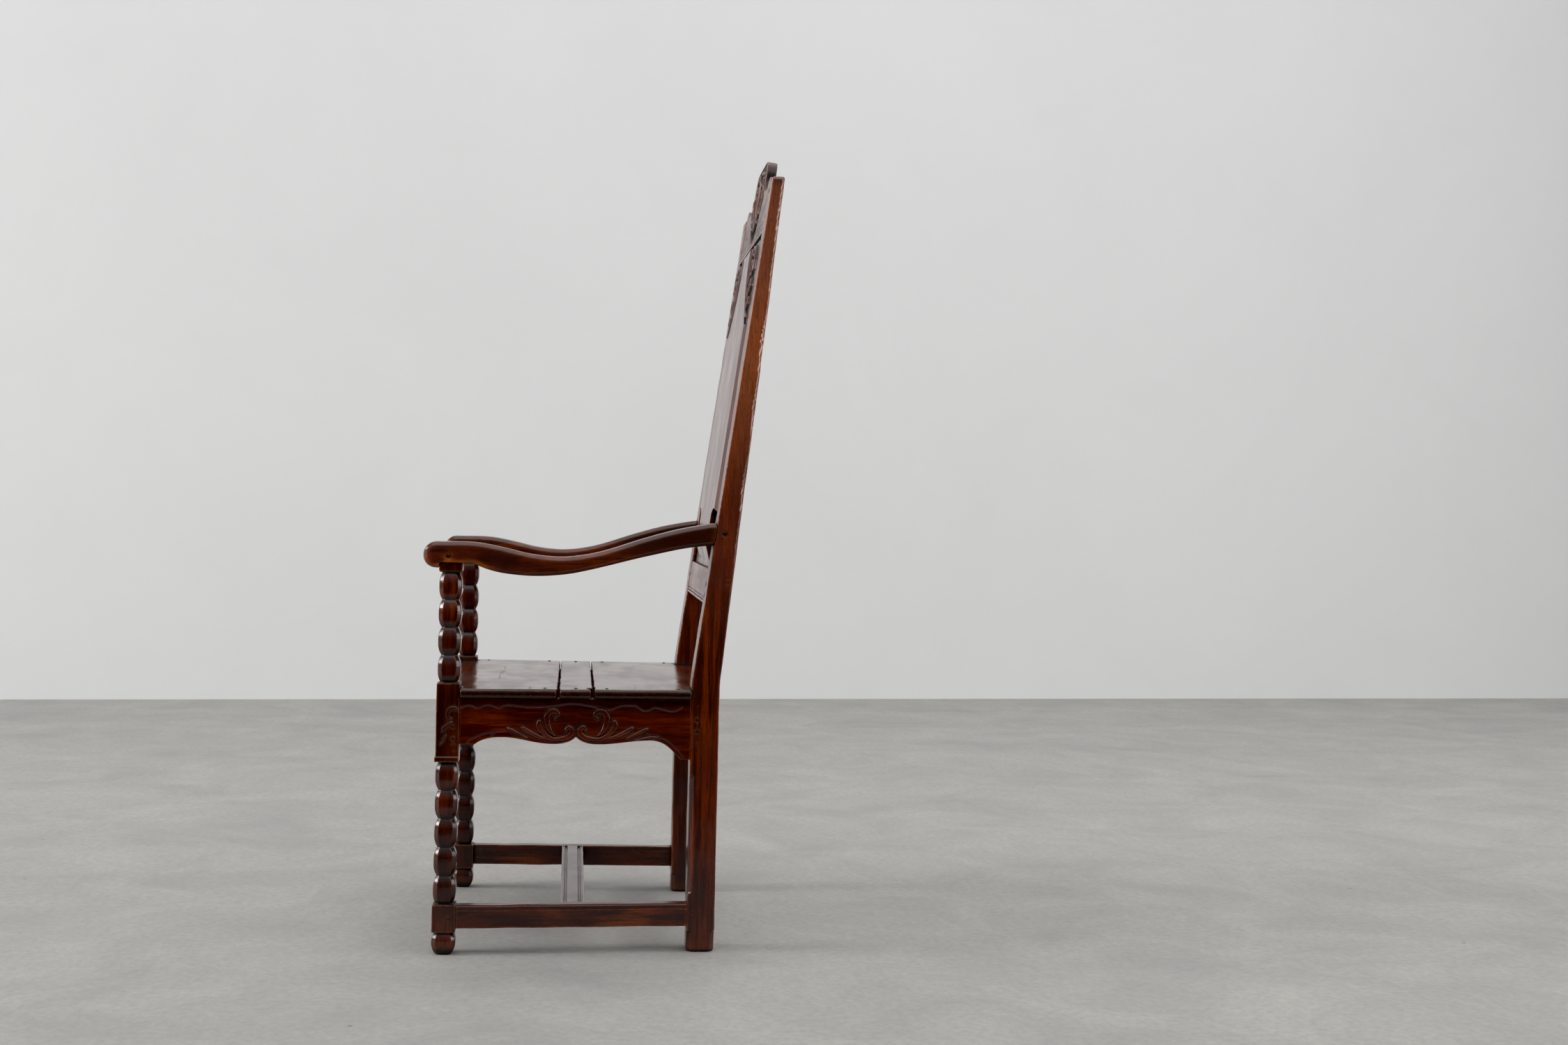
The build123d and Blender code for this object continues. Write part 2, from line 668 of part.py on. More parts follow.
with BuildPart() as front_rail:
    with BuildSketch(Plane.XZ.offset(-post_front - rail_inset)):
        with BuildLine():
            reach = front_width / 2 - post_size
            for way in (-1, 1):
                apron_half(0, front_peak_offset, apron_front_peak, way * reach, apron_front_end,
                           apron_front_flat)
            Line((-reach, rail_top), (reach, rail_top))
        make_face()
    extrude(amount=-rail_thickness)
    cross_tenon(reach - tenon_wall, front_tenon_end, front_rail_y, front_tenon_low, tenon_top)
    peg_holes("front_rail_pegs")
    drive_nails(Mode.SUBTRACT)
    split(bisect_by=Plane.YZ)
    mirror(about=Plane.YZ)
finish(front_rail, "front_seat_rail")

with BuildPart() as rear_rail:
    slab(Plane.XZ, 0, stile_inner, rear_rail_bottom, rail_top, rear_rail_y - rail_thickness / 2,
         rear_rail_y + rail_thickness / 2)
    cross_tenon(stile_inner - tenon_wall, stile_tenon_end, rear_rail_y,
                rear_rail_bottom + tenon_shoulder, tenon_top)
    peg_holes("rear_rail_pegs")
    drive_nails(Mode.SUBTRACT)
    mirror(about=Plane.YZ)
finish(rear_rail, "rear_seat_rail")

# ---- Stretchers ----------------------------------------------------------------------
centre_top = stretcher_top
centre_low = stretcher_top - centre_thickness
with BuildPart() as side_stretcher:
    with BuildSketch(Plane(origin=side.origin, x_dir=-side.z_dir, z_dir=side.x_dir)):
        # Section, with a bead and a quirk along the top outer corner
        with BuildLine():
            quirk = stretcher_top - stretcher_bead
            Polyline(
                (rail_inset + stretcher_quirk + stretcher_bead / 2, stretcher_top),
                (rail_inset + stretcher_thickness, stretcher_top),
                (rail_inset + stretcher_thickness, stretcher_bottom),
                (rail_inset, stretcher_bottom),
                (rail_inset, quirk - stretcher_quirk),
                (rail_inset + stretcher_quirk, quirk),
            )
            ThreePointArc(
                (rail_inset + stretcher_quirk, quirk),
                (rail_inset + stretcher_quirk / 2, stretcher_top - stretcher_bead / 3),
                (rail_inset + stretcher_quirk + stretcher_bead / 2, stretcher_top),
            )
        make_face()
    extrude(amount=along_side(leg_front) + tenon_wall)
    slab(Plane.XY, 0, front_width, post_back, leg_front, -stretcher_top, 0, Mode.INTERSECT)
    side_tenon(stretcher_tenon_start, post_back + tenon_wall, stretcher_low, stretcher_high,
               stretcher_depth)
    side_tenon(leg_front - tenon_wall, side_tenon_end, stretcher_low, stretcher_high, stretcher_depth)
    centre_joint(mortise_relief, mortise_ease, Mode.SUBTRACT)
    peg_holes("stretcher_pegs")
finish_pair(side_stretcher, "side_stretcher")

with BuildPart() as centre_stretcher:
    with BuildSketch(Plane.YZ):
        with Locations((stretcher_middle, centre_low)):
            Rectangle(centre_width, centre_thickness, align=(Align.CENTER, Align.MIN))
        for way in (-1, 1):
            # The moulded edge: a hollow beside the flat, then a bead
            with Locations((stretcher_middle + way * (centre_flat / 2 + centre_quirk), centre_top)):
                Circle(centre_quirk, mode=Mode.SUBTRACT)
            with Locations((stretcher_middle + way * (centre_width / 2 - centre_quirk), centre_top)):
                Circle(centre_quirk / 2, mode=Mode.SUBTRACT)
    extrude(amount=front_width / 2)
    with BuildSketch(Plane.XY):
        with BuildLine():
            inner = rail_inset + stretcher_thickness
            front_edge = stretcher_middle - centre_width
            rear_edge = stretcher_middle + centre_width
            lean = inner / math.cos(splay)
            Polyline(
                (0, front_edge),
                (half_width(front_edge) - lean, front_edge),
                (half_width(rear_edge) - lean, rear_edge),
                (0, rear_edge),
                close=True,
            )
        make_face()
    extrude(amount=stretcher_top, mode=Mode.INTERSECT)
    centre_joint()
    mirror(about=Plane.YZ)
finish(centre_stretcher, "centre_stretcher")

# ---- Seat boards ---------------------------------------------------------------------
def board(y_low, y_high):
    """The left half of one board of the seat, with its end moulded."""
    with BuildSketch(Plane.XY.offset(rail_top)) as plan:
        with BuildLine():
            Polyline(
                (0, y_low),
                (half_width(y_low) + board_overhang, y_low),
                (half_width(y_high) + board_overhang, y_high),
                (0, y_high),
                close=True,
            )
        make_face()
    extrude(plan.sketch, amount=board_thickness)
    fillet(edges().filter_by(Plane.XY).sort_by(Axis.X)[-2:], nosing_round)


with BuildPart() as front_board:
    board(post_back + notch_ease, middle_front - board_gap)
    slab(Plane.XY, 0, front_width / 2 - post_size - notch_ease, post_front - nosing,
         post_back + 2 * notch_ease, -seat_height, -rail_top)
    front_edges = edges().filter_by(Axis.X).group_by(Axis.Y)[0]
    fillet(front_edges, nosing_round)
    drive_nails(Mode.SUBTRACT)
    mirror(about=Plane.YZ)
finish(front_board, "front_seat_board")

with BuildPart() as middle_board:
    board(middle_front, middle_back)
    drive_nails(Mode.SUBTRACT)
    mirror(about=Plane.YZ)
finish(middle_board, "middle_seat_board")

with BuildPart() as rear_board:
    board(middle_back + board_gap, leg_front - notch_ease)
    slab(Plane.XY, 0, stile_inner - notch_ease, leg_front - 2 * notch_ease, leg_back - rear_rail_inset,
         -seat_height, -rail_top)
    drive_nails(Mode.SUBTRACT)
    mirror(about=Plane.YZ)
finish(rear_board, "rear_seat_board")

# ---- Back ----------------------------------------------------------------------------
panel_low = up_back(back_rail_top)
panel_high = up_back(crest_bottom)
tongue = groove_depth - panel_play

with BuildPart() as back_rail:
    slab(back, 0, stile_inner, up_back(back_rail_bottom), panel_low, back_rail_setback,
         back_rail_setback + back_rail_thickness)
    slab(back, 0, stile_inner, panel_low - groove_depth, panel_low, groove_setback,
         groove_setback + groove_width, Mode.SUBTRACT)
    for line in (1, 2):
        scratch = up_back(back_rail_bottom) + line * scratch_spacing
        slab(back, 0, stile_inner, scratch, scratch + scratch_width, back_rail_setback,
             back_rail_setback + scratch_depth, Mode.SUBTRACT)
    back_tenon(stile_inner - tenon_wall, stile_tenon_end, back_rail_tenon_low, back_rail_tenon_high,
               back_rail_depth)
    peg_holes("back_rail_pegs")
    mirror(about=Plane.YZ)
finish(back_rail, "back_bottom_rail")

with BuildPart() as crest:
    with BuildSketch(back.offset(-crest_setback)):
        with BuildLine():
            lobe = ThreePointArc(
                (stile_inner, up_back(crest_lobe - lobe_drop)),
                (crest_lobe_offset, up_back(crest_lobe)),
                (2 * crest_lobe_offset - stile_inner, up_back(crest_lobe - lobe_drop)),
            )
            valley = (crest_valley_offset, up_back(crest_valley))
            hip = (crest_shoulder, up_back((crest_top + crest_valley) / 2))
            level = (crest_flat / 2, up_back(crest_top))
            Spline(lobe @ 1, valley, tangents=((-0.4, -1), (-1, 0)))
            Spline(valley, hip, tangents=((-1, 0), (0, 1)))
            Spline(hip, level, tangents=((0, 1), (-1, 0)))
            Polyline(
                level,
                (0, up_back(crest_top)),
                (0, panel_high),
                (stile_inner, panel_high),
                (stile_inner, up_back(crest_lobe - lobe_drop)),
            )
        make_face()
    extrude(amount=-crest_thickness)
    slab(back, 0, stile_inner, panel_high, panel_high + groove_depth, groove_setback,
         groove_setback + groove_width, Mode.SUBTRACT)
    scratch = up_back(crest_bottom + crest_line)
    slab(back, 0, stile_inner, scratch, scratch + scratch_width, crest_setback,
         crest_setback + scratch_depth, Mode.SUBTRACT)
    back_tenon(stile_inner - tenon_wall, stile_tenon_end, crest_tenon_low, crest_tenon_high, crest_depth)
    peg_holes("crest_pegs")
    mirror(about=Plane.YZ)
finish(crest, "crest_rail")

with BuildPart() as panel:
    # The tongue that lies in the grooves, then the bevelled field in front of it
    slab(back, 0, stile_inner + tongue, panel_low - tongue, panel_high + tongue,
         groove_setback + panel_ease, groove_setback + groove_width - panel_ease)
    field_half = stile_inner - margin_width
    field_low = panel_low + margin_width
    field_high = panel_high - margin_width
    field_rise = groove_setback + panel_ease + field_proud
    with BuildSketch(back.offset(-groove_setback - panel_ease)):
        with Locations((0, (field_low + field_high + bevel_width) / 2)):
            Rectangle(2 * field_half, field_high + bevel_width - field_low)
    extrude(amount=field_rise, taper=math.degrees(math.atan2(bevel_width, field_rise)))
    slab(back, -stile_inner - tongue, 0, 0, 2 * field_high, -field_rise, groove_setback + groove_width,
         Mode.SUBTRACT)
    slab(back, 0, field_half, field_high, field_high + 2 * bevel_width, -field_rise,
         groove_setback + panel_ease, Mode.SUBTRACT)
    with BuildSketch(back.offset(field_proud)):
        # Spandrels beside the arched top
        with BuildLine():
            haunch = (field_half - bevel_width, up_back(crest_bottom - spandrel_drop))
            spring = (spandrel_inner, field_high)
            Spline(haunch, spring, tangents=((-1, 0.7), (0, 1)))
            Polyline(spring, (field_half, field_high), (field_half, haunch[1]), haunch)
        make_face()
    extrude(amount=-spandrel_floor, mode=Mode.SUBTRACT)
    with BuildSketch(back.offset(field_proud)):
        # Notched lower corners with a rounded head
        with BuildLine():
            sill = field_low
            head = panel_low + notch_rise
            Polyline((notch_inner, head), (notch_inner, sill), (field_half, sill), (field_half, head))
            ThreePointArc(
                (field_half, head),
                ((field_half + notch_inner) / 2, head + margin_width),
                (notch_inner, head),
            )
        make_face()
    extrude(amount=-field_rise, mode=Mode.SUBTRACT)
    mirror(about=Plane.YZ)
finish(panel, "back_panel")

# ---- Pegs and nails ------------------------------------------------------------------
for name, (length, places) in peg_places.items():
    with BuildPart() as pegs:
        for point, direction in places:
            pin(point, direction, length, peg_diameter, peg_sides, peg_stand)
        mirror(about=Plane.YZ)
    finish(pegs, name)

with BuildPart() as nails:
    drive_nails()
    with BuildSketch(Plane.XY.offset(seat_height)) as heads:
        with Locations(*nail_places):
            RegularPolygon(nail_head / 2, nail_facets)
    extrude(heads.sketch, amount=nail_head_height, taper=nail_slope)
    mirror(about=Plane.YZ)
finish(nails, "seat_nails")
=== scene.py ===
import math

import bpy
import numpy as np
from mathutils import Matrix, Vector


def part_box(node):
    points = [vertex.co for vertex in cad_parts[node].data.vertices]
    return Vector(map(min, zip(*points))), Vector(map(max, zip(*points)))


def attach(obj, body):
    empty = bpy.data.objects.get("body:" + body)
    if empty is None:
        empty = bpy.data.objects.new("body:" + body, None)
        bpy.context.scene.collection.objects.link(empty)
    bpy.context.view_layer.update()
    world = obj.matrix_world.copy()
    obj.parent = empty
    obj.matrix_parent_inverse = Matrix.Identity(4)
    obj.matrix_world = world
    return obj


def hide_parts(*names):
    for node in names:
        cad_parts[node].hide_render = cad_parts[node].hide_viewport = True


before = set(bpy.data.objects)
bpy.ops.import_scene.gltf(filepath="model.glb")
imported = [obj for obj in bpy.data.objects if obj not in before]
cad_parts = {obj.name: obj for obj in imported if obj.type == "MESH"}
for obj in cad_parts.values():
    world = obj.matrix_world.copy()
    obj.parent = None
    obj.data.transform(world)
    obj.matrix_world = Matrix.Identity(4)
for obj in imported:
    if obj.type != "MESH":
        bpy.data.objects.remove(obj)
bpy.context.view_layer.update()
MM = 0.001


# ---- Materials -----------------------------------------------------------------------
def tint(code):
    """An sRGB hex colour as the linear values that a shader takes."""
    parts = [int(code[i:i + 2], 16) / 255 for i in (1, 3, 5)]
    linear = [p / 12.92 if p <= 0.04045 else ((p + 0.055) / 1.055) ** 2.4 for p in parts]
    return (*linear, 1.0)


def empty_tree(owner):
    """The node tree of a new material or world, with nothing in it yet."""
    owner.use_nodes = True
    owner.node_tree.nodes.clear()
    return owner.node_tree


def add(tree, kind, output, inputs=None, **settings):
    """Adds one shader node with its settings, values and links, and hands back one of its outputs."""
    made = tree.nodes.new("ShaderNode" + kind)
    for name, value in settings.items():
        setattr(made, name, value)
    for name, value in (inputs or {}).items():
        if isinstance(value, bpy.types.NodeSocket):
            tree.links.new(value, made.inputs[name])
        else:
            made.inputs[name].default_value = value
    return made.outputs[output] if made.outputs else None


FACTOR, FIRST, SECOND, MIXED = 0, 6, 7, 2  # sockets of a mix of two colours
BEADS = ((0.085, 0.326, 5), (0.4585, 0.6455, 4))  # the posts' two chains: from, to, and how many
GRIME_AND_SHADE = "#080302"  # near-black: soot and dust in old wax, dark pores and end grain, and painted shade in hollows, cuts and bead necks
HOLLOW_REACH, CUT_REACH = 16, 2.5  # mm round a point that tell whether it lies in a hollow or a cut
OAK_MARKS = {  # width across the grain and length along it in mm, and how finely it breaks up
    "fibre": (1.6, 45, 3), "streaks": (9, 160, 4), "clouds": (48, 120, 3), "pores": (0.8, 8, 1),
    "patches": (7, 22, 3), "swell": (26, 75, 2)}


def waxed_oak(name, grain, body, streak, worn, glow, edge=3.5, sharp=0.48, rough=0.26, ripple=0.8,
              raised=0.12, dirt_and_shade=(0.88, 0.42), by_height=(), faded=(), handled=(), necks=()):
    """Riven oak, planed by hand, stained dark by age and wax and rubbed bright at the edges.

    The eye gets a deep red-brown that turns orange where the stain is thin, fine dark pores along
    the grain, darker end grain, black grime and painted shade in the hollows and cuts, a bright
    line on every arris, and a wax gloss that breaks up over a slightly wavy face.

    edge is how far in mm the bright line reaches in from an arris. sharp says how little of the wood
    round a point may be left, from 1 down to 0, where that line is full, and dirt_and_shade how
    little free space, where the grime and painted shade of the hollows begin and where they are
    full. ripple and raised are the heights in mm of the plane's waves and of the grain. by_height,
    faded and handled lay a colour on from one height to another, in metres, up to a share:
    faded only on faces that look sideways, where its pale colours are painted sheen, and
    handled over the worn arrises too. necks are chains of beads, with painted shade where one
    meets the next.
    """
    material = bpy.data.materials.new(name)
    tree = empty_tree(material)
    place = add(tree, "TexCoord", "Object")
    height = add(tree, "SeparateXYZ", "Z", {"Vector": place})
    marks = {}
    for mark, (width, length, detail) in OAK_MARKS.items():
        scale = [1 / ((length if axis == grain else width) * MM) for axis in "XYZ"]
        stretched = add(tree, "Mapping", "Vector", {"Vector": place, "Scale": scale})
        marks[mark] = add(tree, "TexNoise", "Fac", {
            "Vector": stretched, "Scale": 1, "Detail": detail, "Distortion": 0.3})
    inside = add(tree, "AmbientOcclusion", "AO", {"Distance": edge * MM}, inside=True,
                 only_local=True, samples=8)
    # around and close darken the wood in hollows, under and between parts, and in narrow cuts: partly
    # grime, partly painted shade.
    around = add(tree, "AmbientOcclusion", "AO", {"Distance": HOLLOW_REACH * MM}, samples=8)
    close = add(tree, "AmbientOcclusion", "AO", {"Distance": CUT_REACH * MM}, samples=6)
    normal = add(tree, "NewGeometry", "Normal")
    facing = {}  # how squarely a face looks along an axis, either way
    for axis in dict.fromkeys((grain, "X")):
        along = add(tree, "SeparateXYZ", axis, {"Vector": normal})
        facing[axis] = add(tree, "Math", "Value", {0: along}, operation="ABSOLUTE")

    readings = {  # what is read, from where to where, and the share that this gives
        "streaked": (marks["streaks"], 0.40, 0.62, 0.0, 0.9),
        "glowing": (marks["clouds"], 0.50, 0.34, 0.0, 0.75),
        "clouded": (marks["clouds"], 0.50, 0.68, 0.0, 0.7),
        "fibrous": (marks["fibre"], 0.45, 0.64, 0.0, 0.35),
        "porous": (marks["pores"], 0.58, 0.68, 0.0, 0.45),
        "patchy": (marks["patches"], 0.34, 0.58, 0.2, 1.0),
        "arris": (inside, 0.95, sharp, 0.0, 1.0),
        "hollow": (around, *dirt_and_shade, 0.0, 0.94),
        "cut": (close, 0.93, 0.62, 0.0, 0.9),
        "ended": (facing[grain], 0.55, 0.9, 0.0, 0.65),
        "gloss": (marks["clouds"], 0.3, 0.7, rough - 0.04, rough + 0.06)}
    share = {}
    for part, (value, start, end, least, most) in readings.items():
        share[part] = add(tree, "MapRange", "Result", {
            "Value": value, "From Min": start, "From Max": end, "To Min": least, "To Max": most},
            interpolation_type="SMOOTHSTEP")
    rubbed = add(tree, "Math", "Value", {0: share["arris"], 1: share["patchy"]}, operation="MULTIPLY")

    bands = {"by_height": [], "faded": [], "handled": []}
    for group, colours in zip(bands, (by_height, faded, handled)):
        for colour, start, end, most in colours:
            amount = add(tree, "MapRange", "Result", {
                "Value": height, "From Min": start, "From Max": end, "To Max": most})
            # These bands go only on faces that look sideways, as painted sheen where they are pale.
            if group == "faded":
                amount = add(tree, "Math", "Value", {0: amount, 1: facing["X"]}, operation="MULTIPLY")
            bands[group].append((amount, colour))
    # Painted shade at the bead necks: near-black where one bead meets the next.
    neck_shade = []
    for low, high, count in necks:
        half = (high - low) / count / 2
        bead = add(tree, "MapRange", "Result", {
            "Value": height, "From Min": low + half, "From Max": high - half,
            "To Min": 0.5, "To Max": count - 0.5})
        to_neck = add(tree, "Math", "Value", {0: bead, 1: 0.5}, operation="PINGPONG")
        dark = add(tree, "MapRange", "Result", {
            "Value": to_neck, "From Min": 0.2, "From Max": 0.04, "To Max": 0.6},
            interpolation_type="SMOOTHSTEP")
        neck_shade.append((dark, GRIME_AND_SHADE))

    # In these layers, hollows and cuts go towards near-black as grime and painted shade together, and the
    # bead necks as painted shade.
    layers = [(share["glowing"], glow), (share["streaked"], streak), (share["clouded"], streak),
              (share["ended"], GRIME_AND_SHADE), *bands["by_height"], *bands["faded"], *neck_shade,
              (share["fibrous"], GRIME_AND_SHADE), (share["porous"], GRIME_AND_SHADE), (rubbed, worn),
              *bands["handled"], (share["hollow"], GRIME_AND_SHADE), (share["cut"], GRIME_AND_SHADE)]
    wood = tint(body)
    for amount, colour in layers:
        wood = add(tree, "Mix", MIXED, {FACTOR: amount, FIRST: wood, SECOND: tint(colour)},
                   data_type="RGBA")

    roughness = share["gloss"]
    for amount, change in ((share["hollow"], 0.5), (share["cut"], 0.3), (rubbed, -0.11)):
        roughness = add(tree, "Math", "Value", {0: amount, 1: change, 2: roughness},
                        operation="MULTIPLY_ADD")
    soft = add(tree, "Bevel", "Normal", {"Radius": 0.9 * MM}, samples=4)
    wavy = add(tree, "Bump", "Normal", {
        "Height": marks["swell"], "Distance": ripple * MM, "Strength": 0.8, "Normal": soft})
    grainy = add(tree, "Bump", "Normal", {
        "Height": marks["fibre"], "Distance": raised * MM, "Strength": 0.5, "Normal": wavy})
    shader = add(tree, "BsdfPrincipled", "BSDF", {
        "Base Color": wood, "Roughness": roughness, "IOR": 1.42, "Coat Weight": 0.15,
        "Coat Roughness": 0.10, "Normal": grainy})
    add(tree, "OutputMaterial", "", {"Surface": shader})
    return material


def dress(material, *names):
    """Gives CAD nodes their finish."""
    for name in names:
        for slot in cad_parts[name].material_slots:
            slot.material = material


stile_oak = waxed_oak(
    "waxed_oak_stile", "Z", "#6e280c", "#34100a", "#a8501c", "#86340a", edge=5,
    by_height=(("#2c0e08", 0.36, 0.0, 0.6), ("#8a4a1c", 0.025, 0.0, 0.3)),
    # The pale bands are painted sheen on the stile's sideways faces, growing up the stile; the last one
    # makes those faces darker just under the top.
    faded=(("#a04c30", 0.5, 0.68, 0.3), ("#b26034", 0.78, 1.03, 0.85), ("#8c4e36", 1.06, 1.2, 0.7),
           ("#2a0f09", 1.316, 1.332, 0.75)))
post_oak = waxed_oak(
    "waxed_oak_post", "Z", "#581c07", "#340f07", "#a8561a", "#82330a", edge=3, sharp=0.6,
    rough=0.2, dirt_and_shade=(0.97, 0.62), necks=BEADS,
    by_height=(("#1e0a06", 0.455, 0.435, 0.45), ("#8a4a18", 0.03, 0.004, 0.35)))
side_oak = waxed_oak(
    "waxed_oak_side", "Y", "#661f07", "#400f05", "#a04c18", "#7e2e0b", edge=3, rough=0.21,
    # Painted shade under the seat's overhang: the rail darkens towards its top.
    by_height=(("#200b07", 0.402, 0.426, 0.75),))
across_oak = waxed_oak(
    "waxed_oak_across", "X", "#66220a", "#361006", "#a04c1a", "#823010", edge=3)
arm_oak = waxed_oak(
    "waxed_oak_arm", "Y", "#642410", "#3a120a", "#c8681e", "#84380f", edge=13,
    handled=(("#34140a", 0.674, 0.7, 0.85),))
stretcher_oak = waxed_oak(
    "waxed_oak_stretcher", "Y", "#501c0a", "#2e0e07", "#a4541a", "#80380e", edge=4,
    by_height=(("#1c0a06", 0.118, 0.13, 0.5),))
crest_oak = waxed_oak(
    "waxed_oak_carved_crest", "X", "#562010", "#30120a", "#8e4a24", "#6a2c16", rough=0.3,
    dirt_and_shade=(0.97, 0.55))
leaf_oak = waxed_oak(
    "waxed_oak_carved_leaves", "Z", "#52200e", "#30120a", "#8a4620", "#622a12", rough=0.36,
    ripple=0.4, dirt_and_shade=(0.97, 0.55))
foot_oak = waxed_oak(
    "waxed_oak_foot_worn", "X", "#4a2214", "#34150c", "#7c3c1c", "#5a2a14", rough=0.18,
    ripple=0.25)
seat_oak = waxed_oak(
    "waxed_oak_seat", "X", "#5a2a16", "#3c180c", "#7c3c1c", "#6a3016", rough=0.16, ripple=0.12,
    raised=0.06)
panel_oak = waxed_oak(
    "waxed_oak_panel", "Z", "#5c2610", "#44190b", "#8a4a1c", "#682c12", rough=0.19, ripple=0.4)
peg_oak = waxed_oak("waxed_oak_peg", "X", "#52200e", "#381408", "#6a3012", "#5e280e")


def forged_iron(name):
    """Wrought iron nails, black from the fire and rusted brown under old wax.

    The eye gets near-black heads with a dull grey sheen, hammered dents and patches of rust.
    """
    material = bpy.data.materials.new(name)
    tree = empty_tree(material)
    place = add(tree, "TexCoord", "Object")
    dents = add(tree, "TexNoise", "Fac", {"Vector": place, "Scale": 1 / (2.2 * MM), "Detail": 2})
    blotches = add(tree, "TexNoise", "Fac", {"Vector": place, "Scale": 1 / (4 * MM), "Detail": 5})
    most_rust = 0.85
    rusted = add(tree, "MapRange", "Result", {
        "Value": blotches, "From Min": 0.42, "From Max": 0.62, "To Max": most_rust})
    colour = add(tree, "Mix", MIXED, {FACTOR: rusted, FIRST: tint("#3c3936"), SECOND: tint("#2c1a12")},
                 data_type="RGBA")
    bare = add(tree, "MapRange", "Result", {
        "Value": rusted, "From Max": most_rust, "To Min": 0.9, "To Max": 0.25})
    rough = add(tree, "MapRange", "Result", {
        "Value": rusted, "From Max": most_rust, "To Min": 0.42, "To Max": 0.75})
    hammered = add(tree, "Bump", "Normal", {"Height": dents, "Distance": 0.35 * MM, "Strength": 0.6})
    shader = add(tree, "BsdfPrincipled", "BSDF", {
        "Base Color": colour, "Metallic": bare, "Roughness": rough, "Normal": hammered})
    add(tree, "OutputMaterial", "", {"Surface": shader})
    return material


nail_iron = forged_iron("forged_iron_nail")
PEGS = ("arm_post_pegs", "arm_stile_pegs", "side_rail_pegs", "front_rail_pegs", "rear_rail_pegs",
        "stretcher_pegs", "back_rail_pegs", "crest_pegs")

dress(stile_oak, "left_rear_stile", "right_rear_stile")
dress(post_oak, "left_front_post", "right_front_post")
dress(side_oak, "left_seat_rail", "right_seat_rail")
dress(stretcher_oak, "left_side_stretcher", "right_side_stretcher")
dress(across_oak, "front_seat_rail", "rear_seat_rail", "centre_stretcher", "back_bottom_rail")
dress(crest_oak, "crest_rail")
dress(arm_oak, "left_arm", "right_arm")
dress(seat_oak, "front_seat_board", "middle_seat_board", "rear_seat_board")
dress(panel_oak, "back_panel")
dress(peg_oak, *PEGS)
dress(nail_iron, "seat_nails")

# ---- Bench and chisels ---------------------------------------------------------------
LEG_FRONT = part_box("left_rear_stile")[0].y  # front face of the rear legs
LEG_DEPTH = 0.048
SIDE_RUN = 0.4345  # from the middle of a front post to the middle of a rear leg
SIDE_CLOSES_IN = 0.020  # over that run
SIDE_CUSP = 0.2146  # along the side from the middle of the post
POST_MIDDLE = LEG_FRONT + LEG_DEPTH / 2 - SIDE_RUN
POST_AXIS, POST_HALF = 0.284, 0.0195
RAIL_INSET = 0.001  # the rails lie this far behind the faces of the posts
STILE_FACE = 0.2835  # outer face
KNEE = 0.46  # height at which the stiles begin to lean back
SEAT_TOP = 0.45
SPLAY = math.atan2(SIDE_CLOSES_IN, SIDE_RUN)
RAKE = math.radians(7.84)


def bench(origin, along, up):
    """A frame to work in: x along the piece, y up it, and z out of its face."""
    along, up = Vector(along).normalized(), Vector(up).normalized()
    out = along.cross(up)
    return Matrix.Translation(origin) @ Matrix((along, up, out)).transposed().to_4x4()


side_out = Vector((math.cos(SPLAY), math.sin(SPLAY), 0))
side_along = Vector((-math.sin(SPLAY), math.cos(SPLAY), 0))
side_corner = Vector((POST_AXIS + POST_HALF, POST_MIDDLE, 0))
post_side = bench(side_corner, (0, 1, 0), (0, 0, 1))
rail_side = bench(side_corner + side_along * SIDE_CUSP - side_out * RAIL_INSET, side_along, (0, 0, 1))
rail_front = bench((0, POST_MIDDLE - (POST_HALF - RAIL_INSET), 0), (1, 0, 0), (0, 0, 1))
post_front = bench((POST_AXIS, POST_MIDDLE - POST_HALF, 0), (1, 0, 0), (0, 0, 1))
stile_side = bench((STILE_FACE, 0, 0), (0, 1, 0), (0, 0, 1))
back_up = Vector((0, math.sin(RAKE), math.cos(RAKE)))
back_front = bench((0, LEG_FRONT, KNEE), (1, 0, 0), back_up)
seat_top = Matrix.Translation((0, 0, SEAT_TOP))


def take(piece):
    """Leaves one piece selected and active, for an operator to act on."""
    bpy.ops.object.select_all(action="DESELECT")
    piece.select_set(True)
    bpy.context.view_layer.objects.active = piece


def blank(node, name):
    """A copy of a solid to work on, with its loose triangles joined."""
    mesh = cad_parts[node].data.copy()
    mesh.name = name
    piece = bpy.data.objects.new(name, mesh)
    bpy.context.scene.collection.objects.link(piece)
    take(piece)
    bpy.ops.object.mode_set(mode="EDIT")
    bpy.ops.mesh.select_all(action="SELECT")
    bpy.ops.mesh.remove_doubles(threshold=0.01 * MM)
    bpy.ops.object.mode_set(mode="OBJECT")
    return piece


def modify(piece, kind, **settings):
    """Gives a piece one modifier and makes it part of the mesh."""
    take(piece)
    made = piece.modifiers.new(kind.title(), kind)
    for name, value in settings.items():
        setattr(made, name, value)
    bpy.ops.object.modifier_apply(modifier=made.name)


def read(piece, what="co"):
    """The places, or the normals, of a piece's points as one array."""
    values = np.empty(len(piece.data.vertices) * 3)
    piece.data.vertices.foreach_get(what, values)
    return values.reshape(-1, 3)


def write(piece, places):
    """Moves a piece's points to new places."""
    piece.data.vertices.foreach_set("co", places.ravel())
    piece.data.update()


WAVES, SPREAD = 8, 2.8  # so many waves together swing by about this much
SWELL, FINE_SWELL = 75, 22  # mm from rise to rise on a planed face, and in the finer marks on it
FINE_SHARE = 0.08  # how deep those are beside the swell


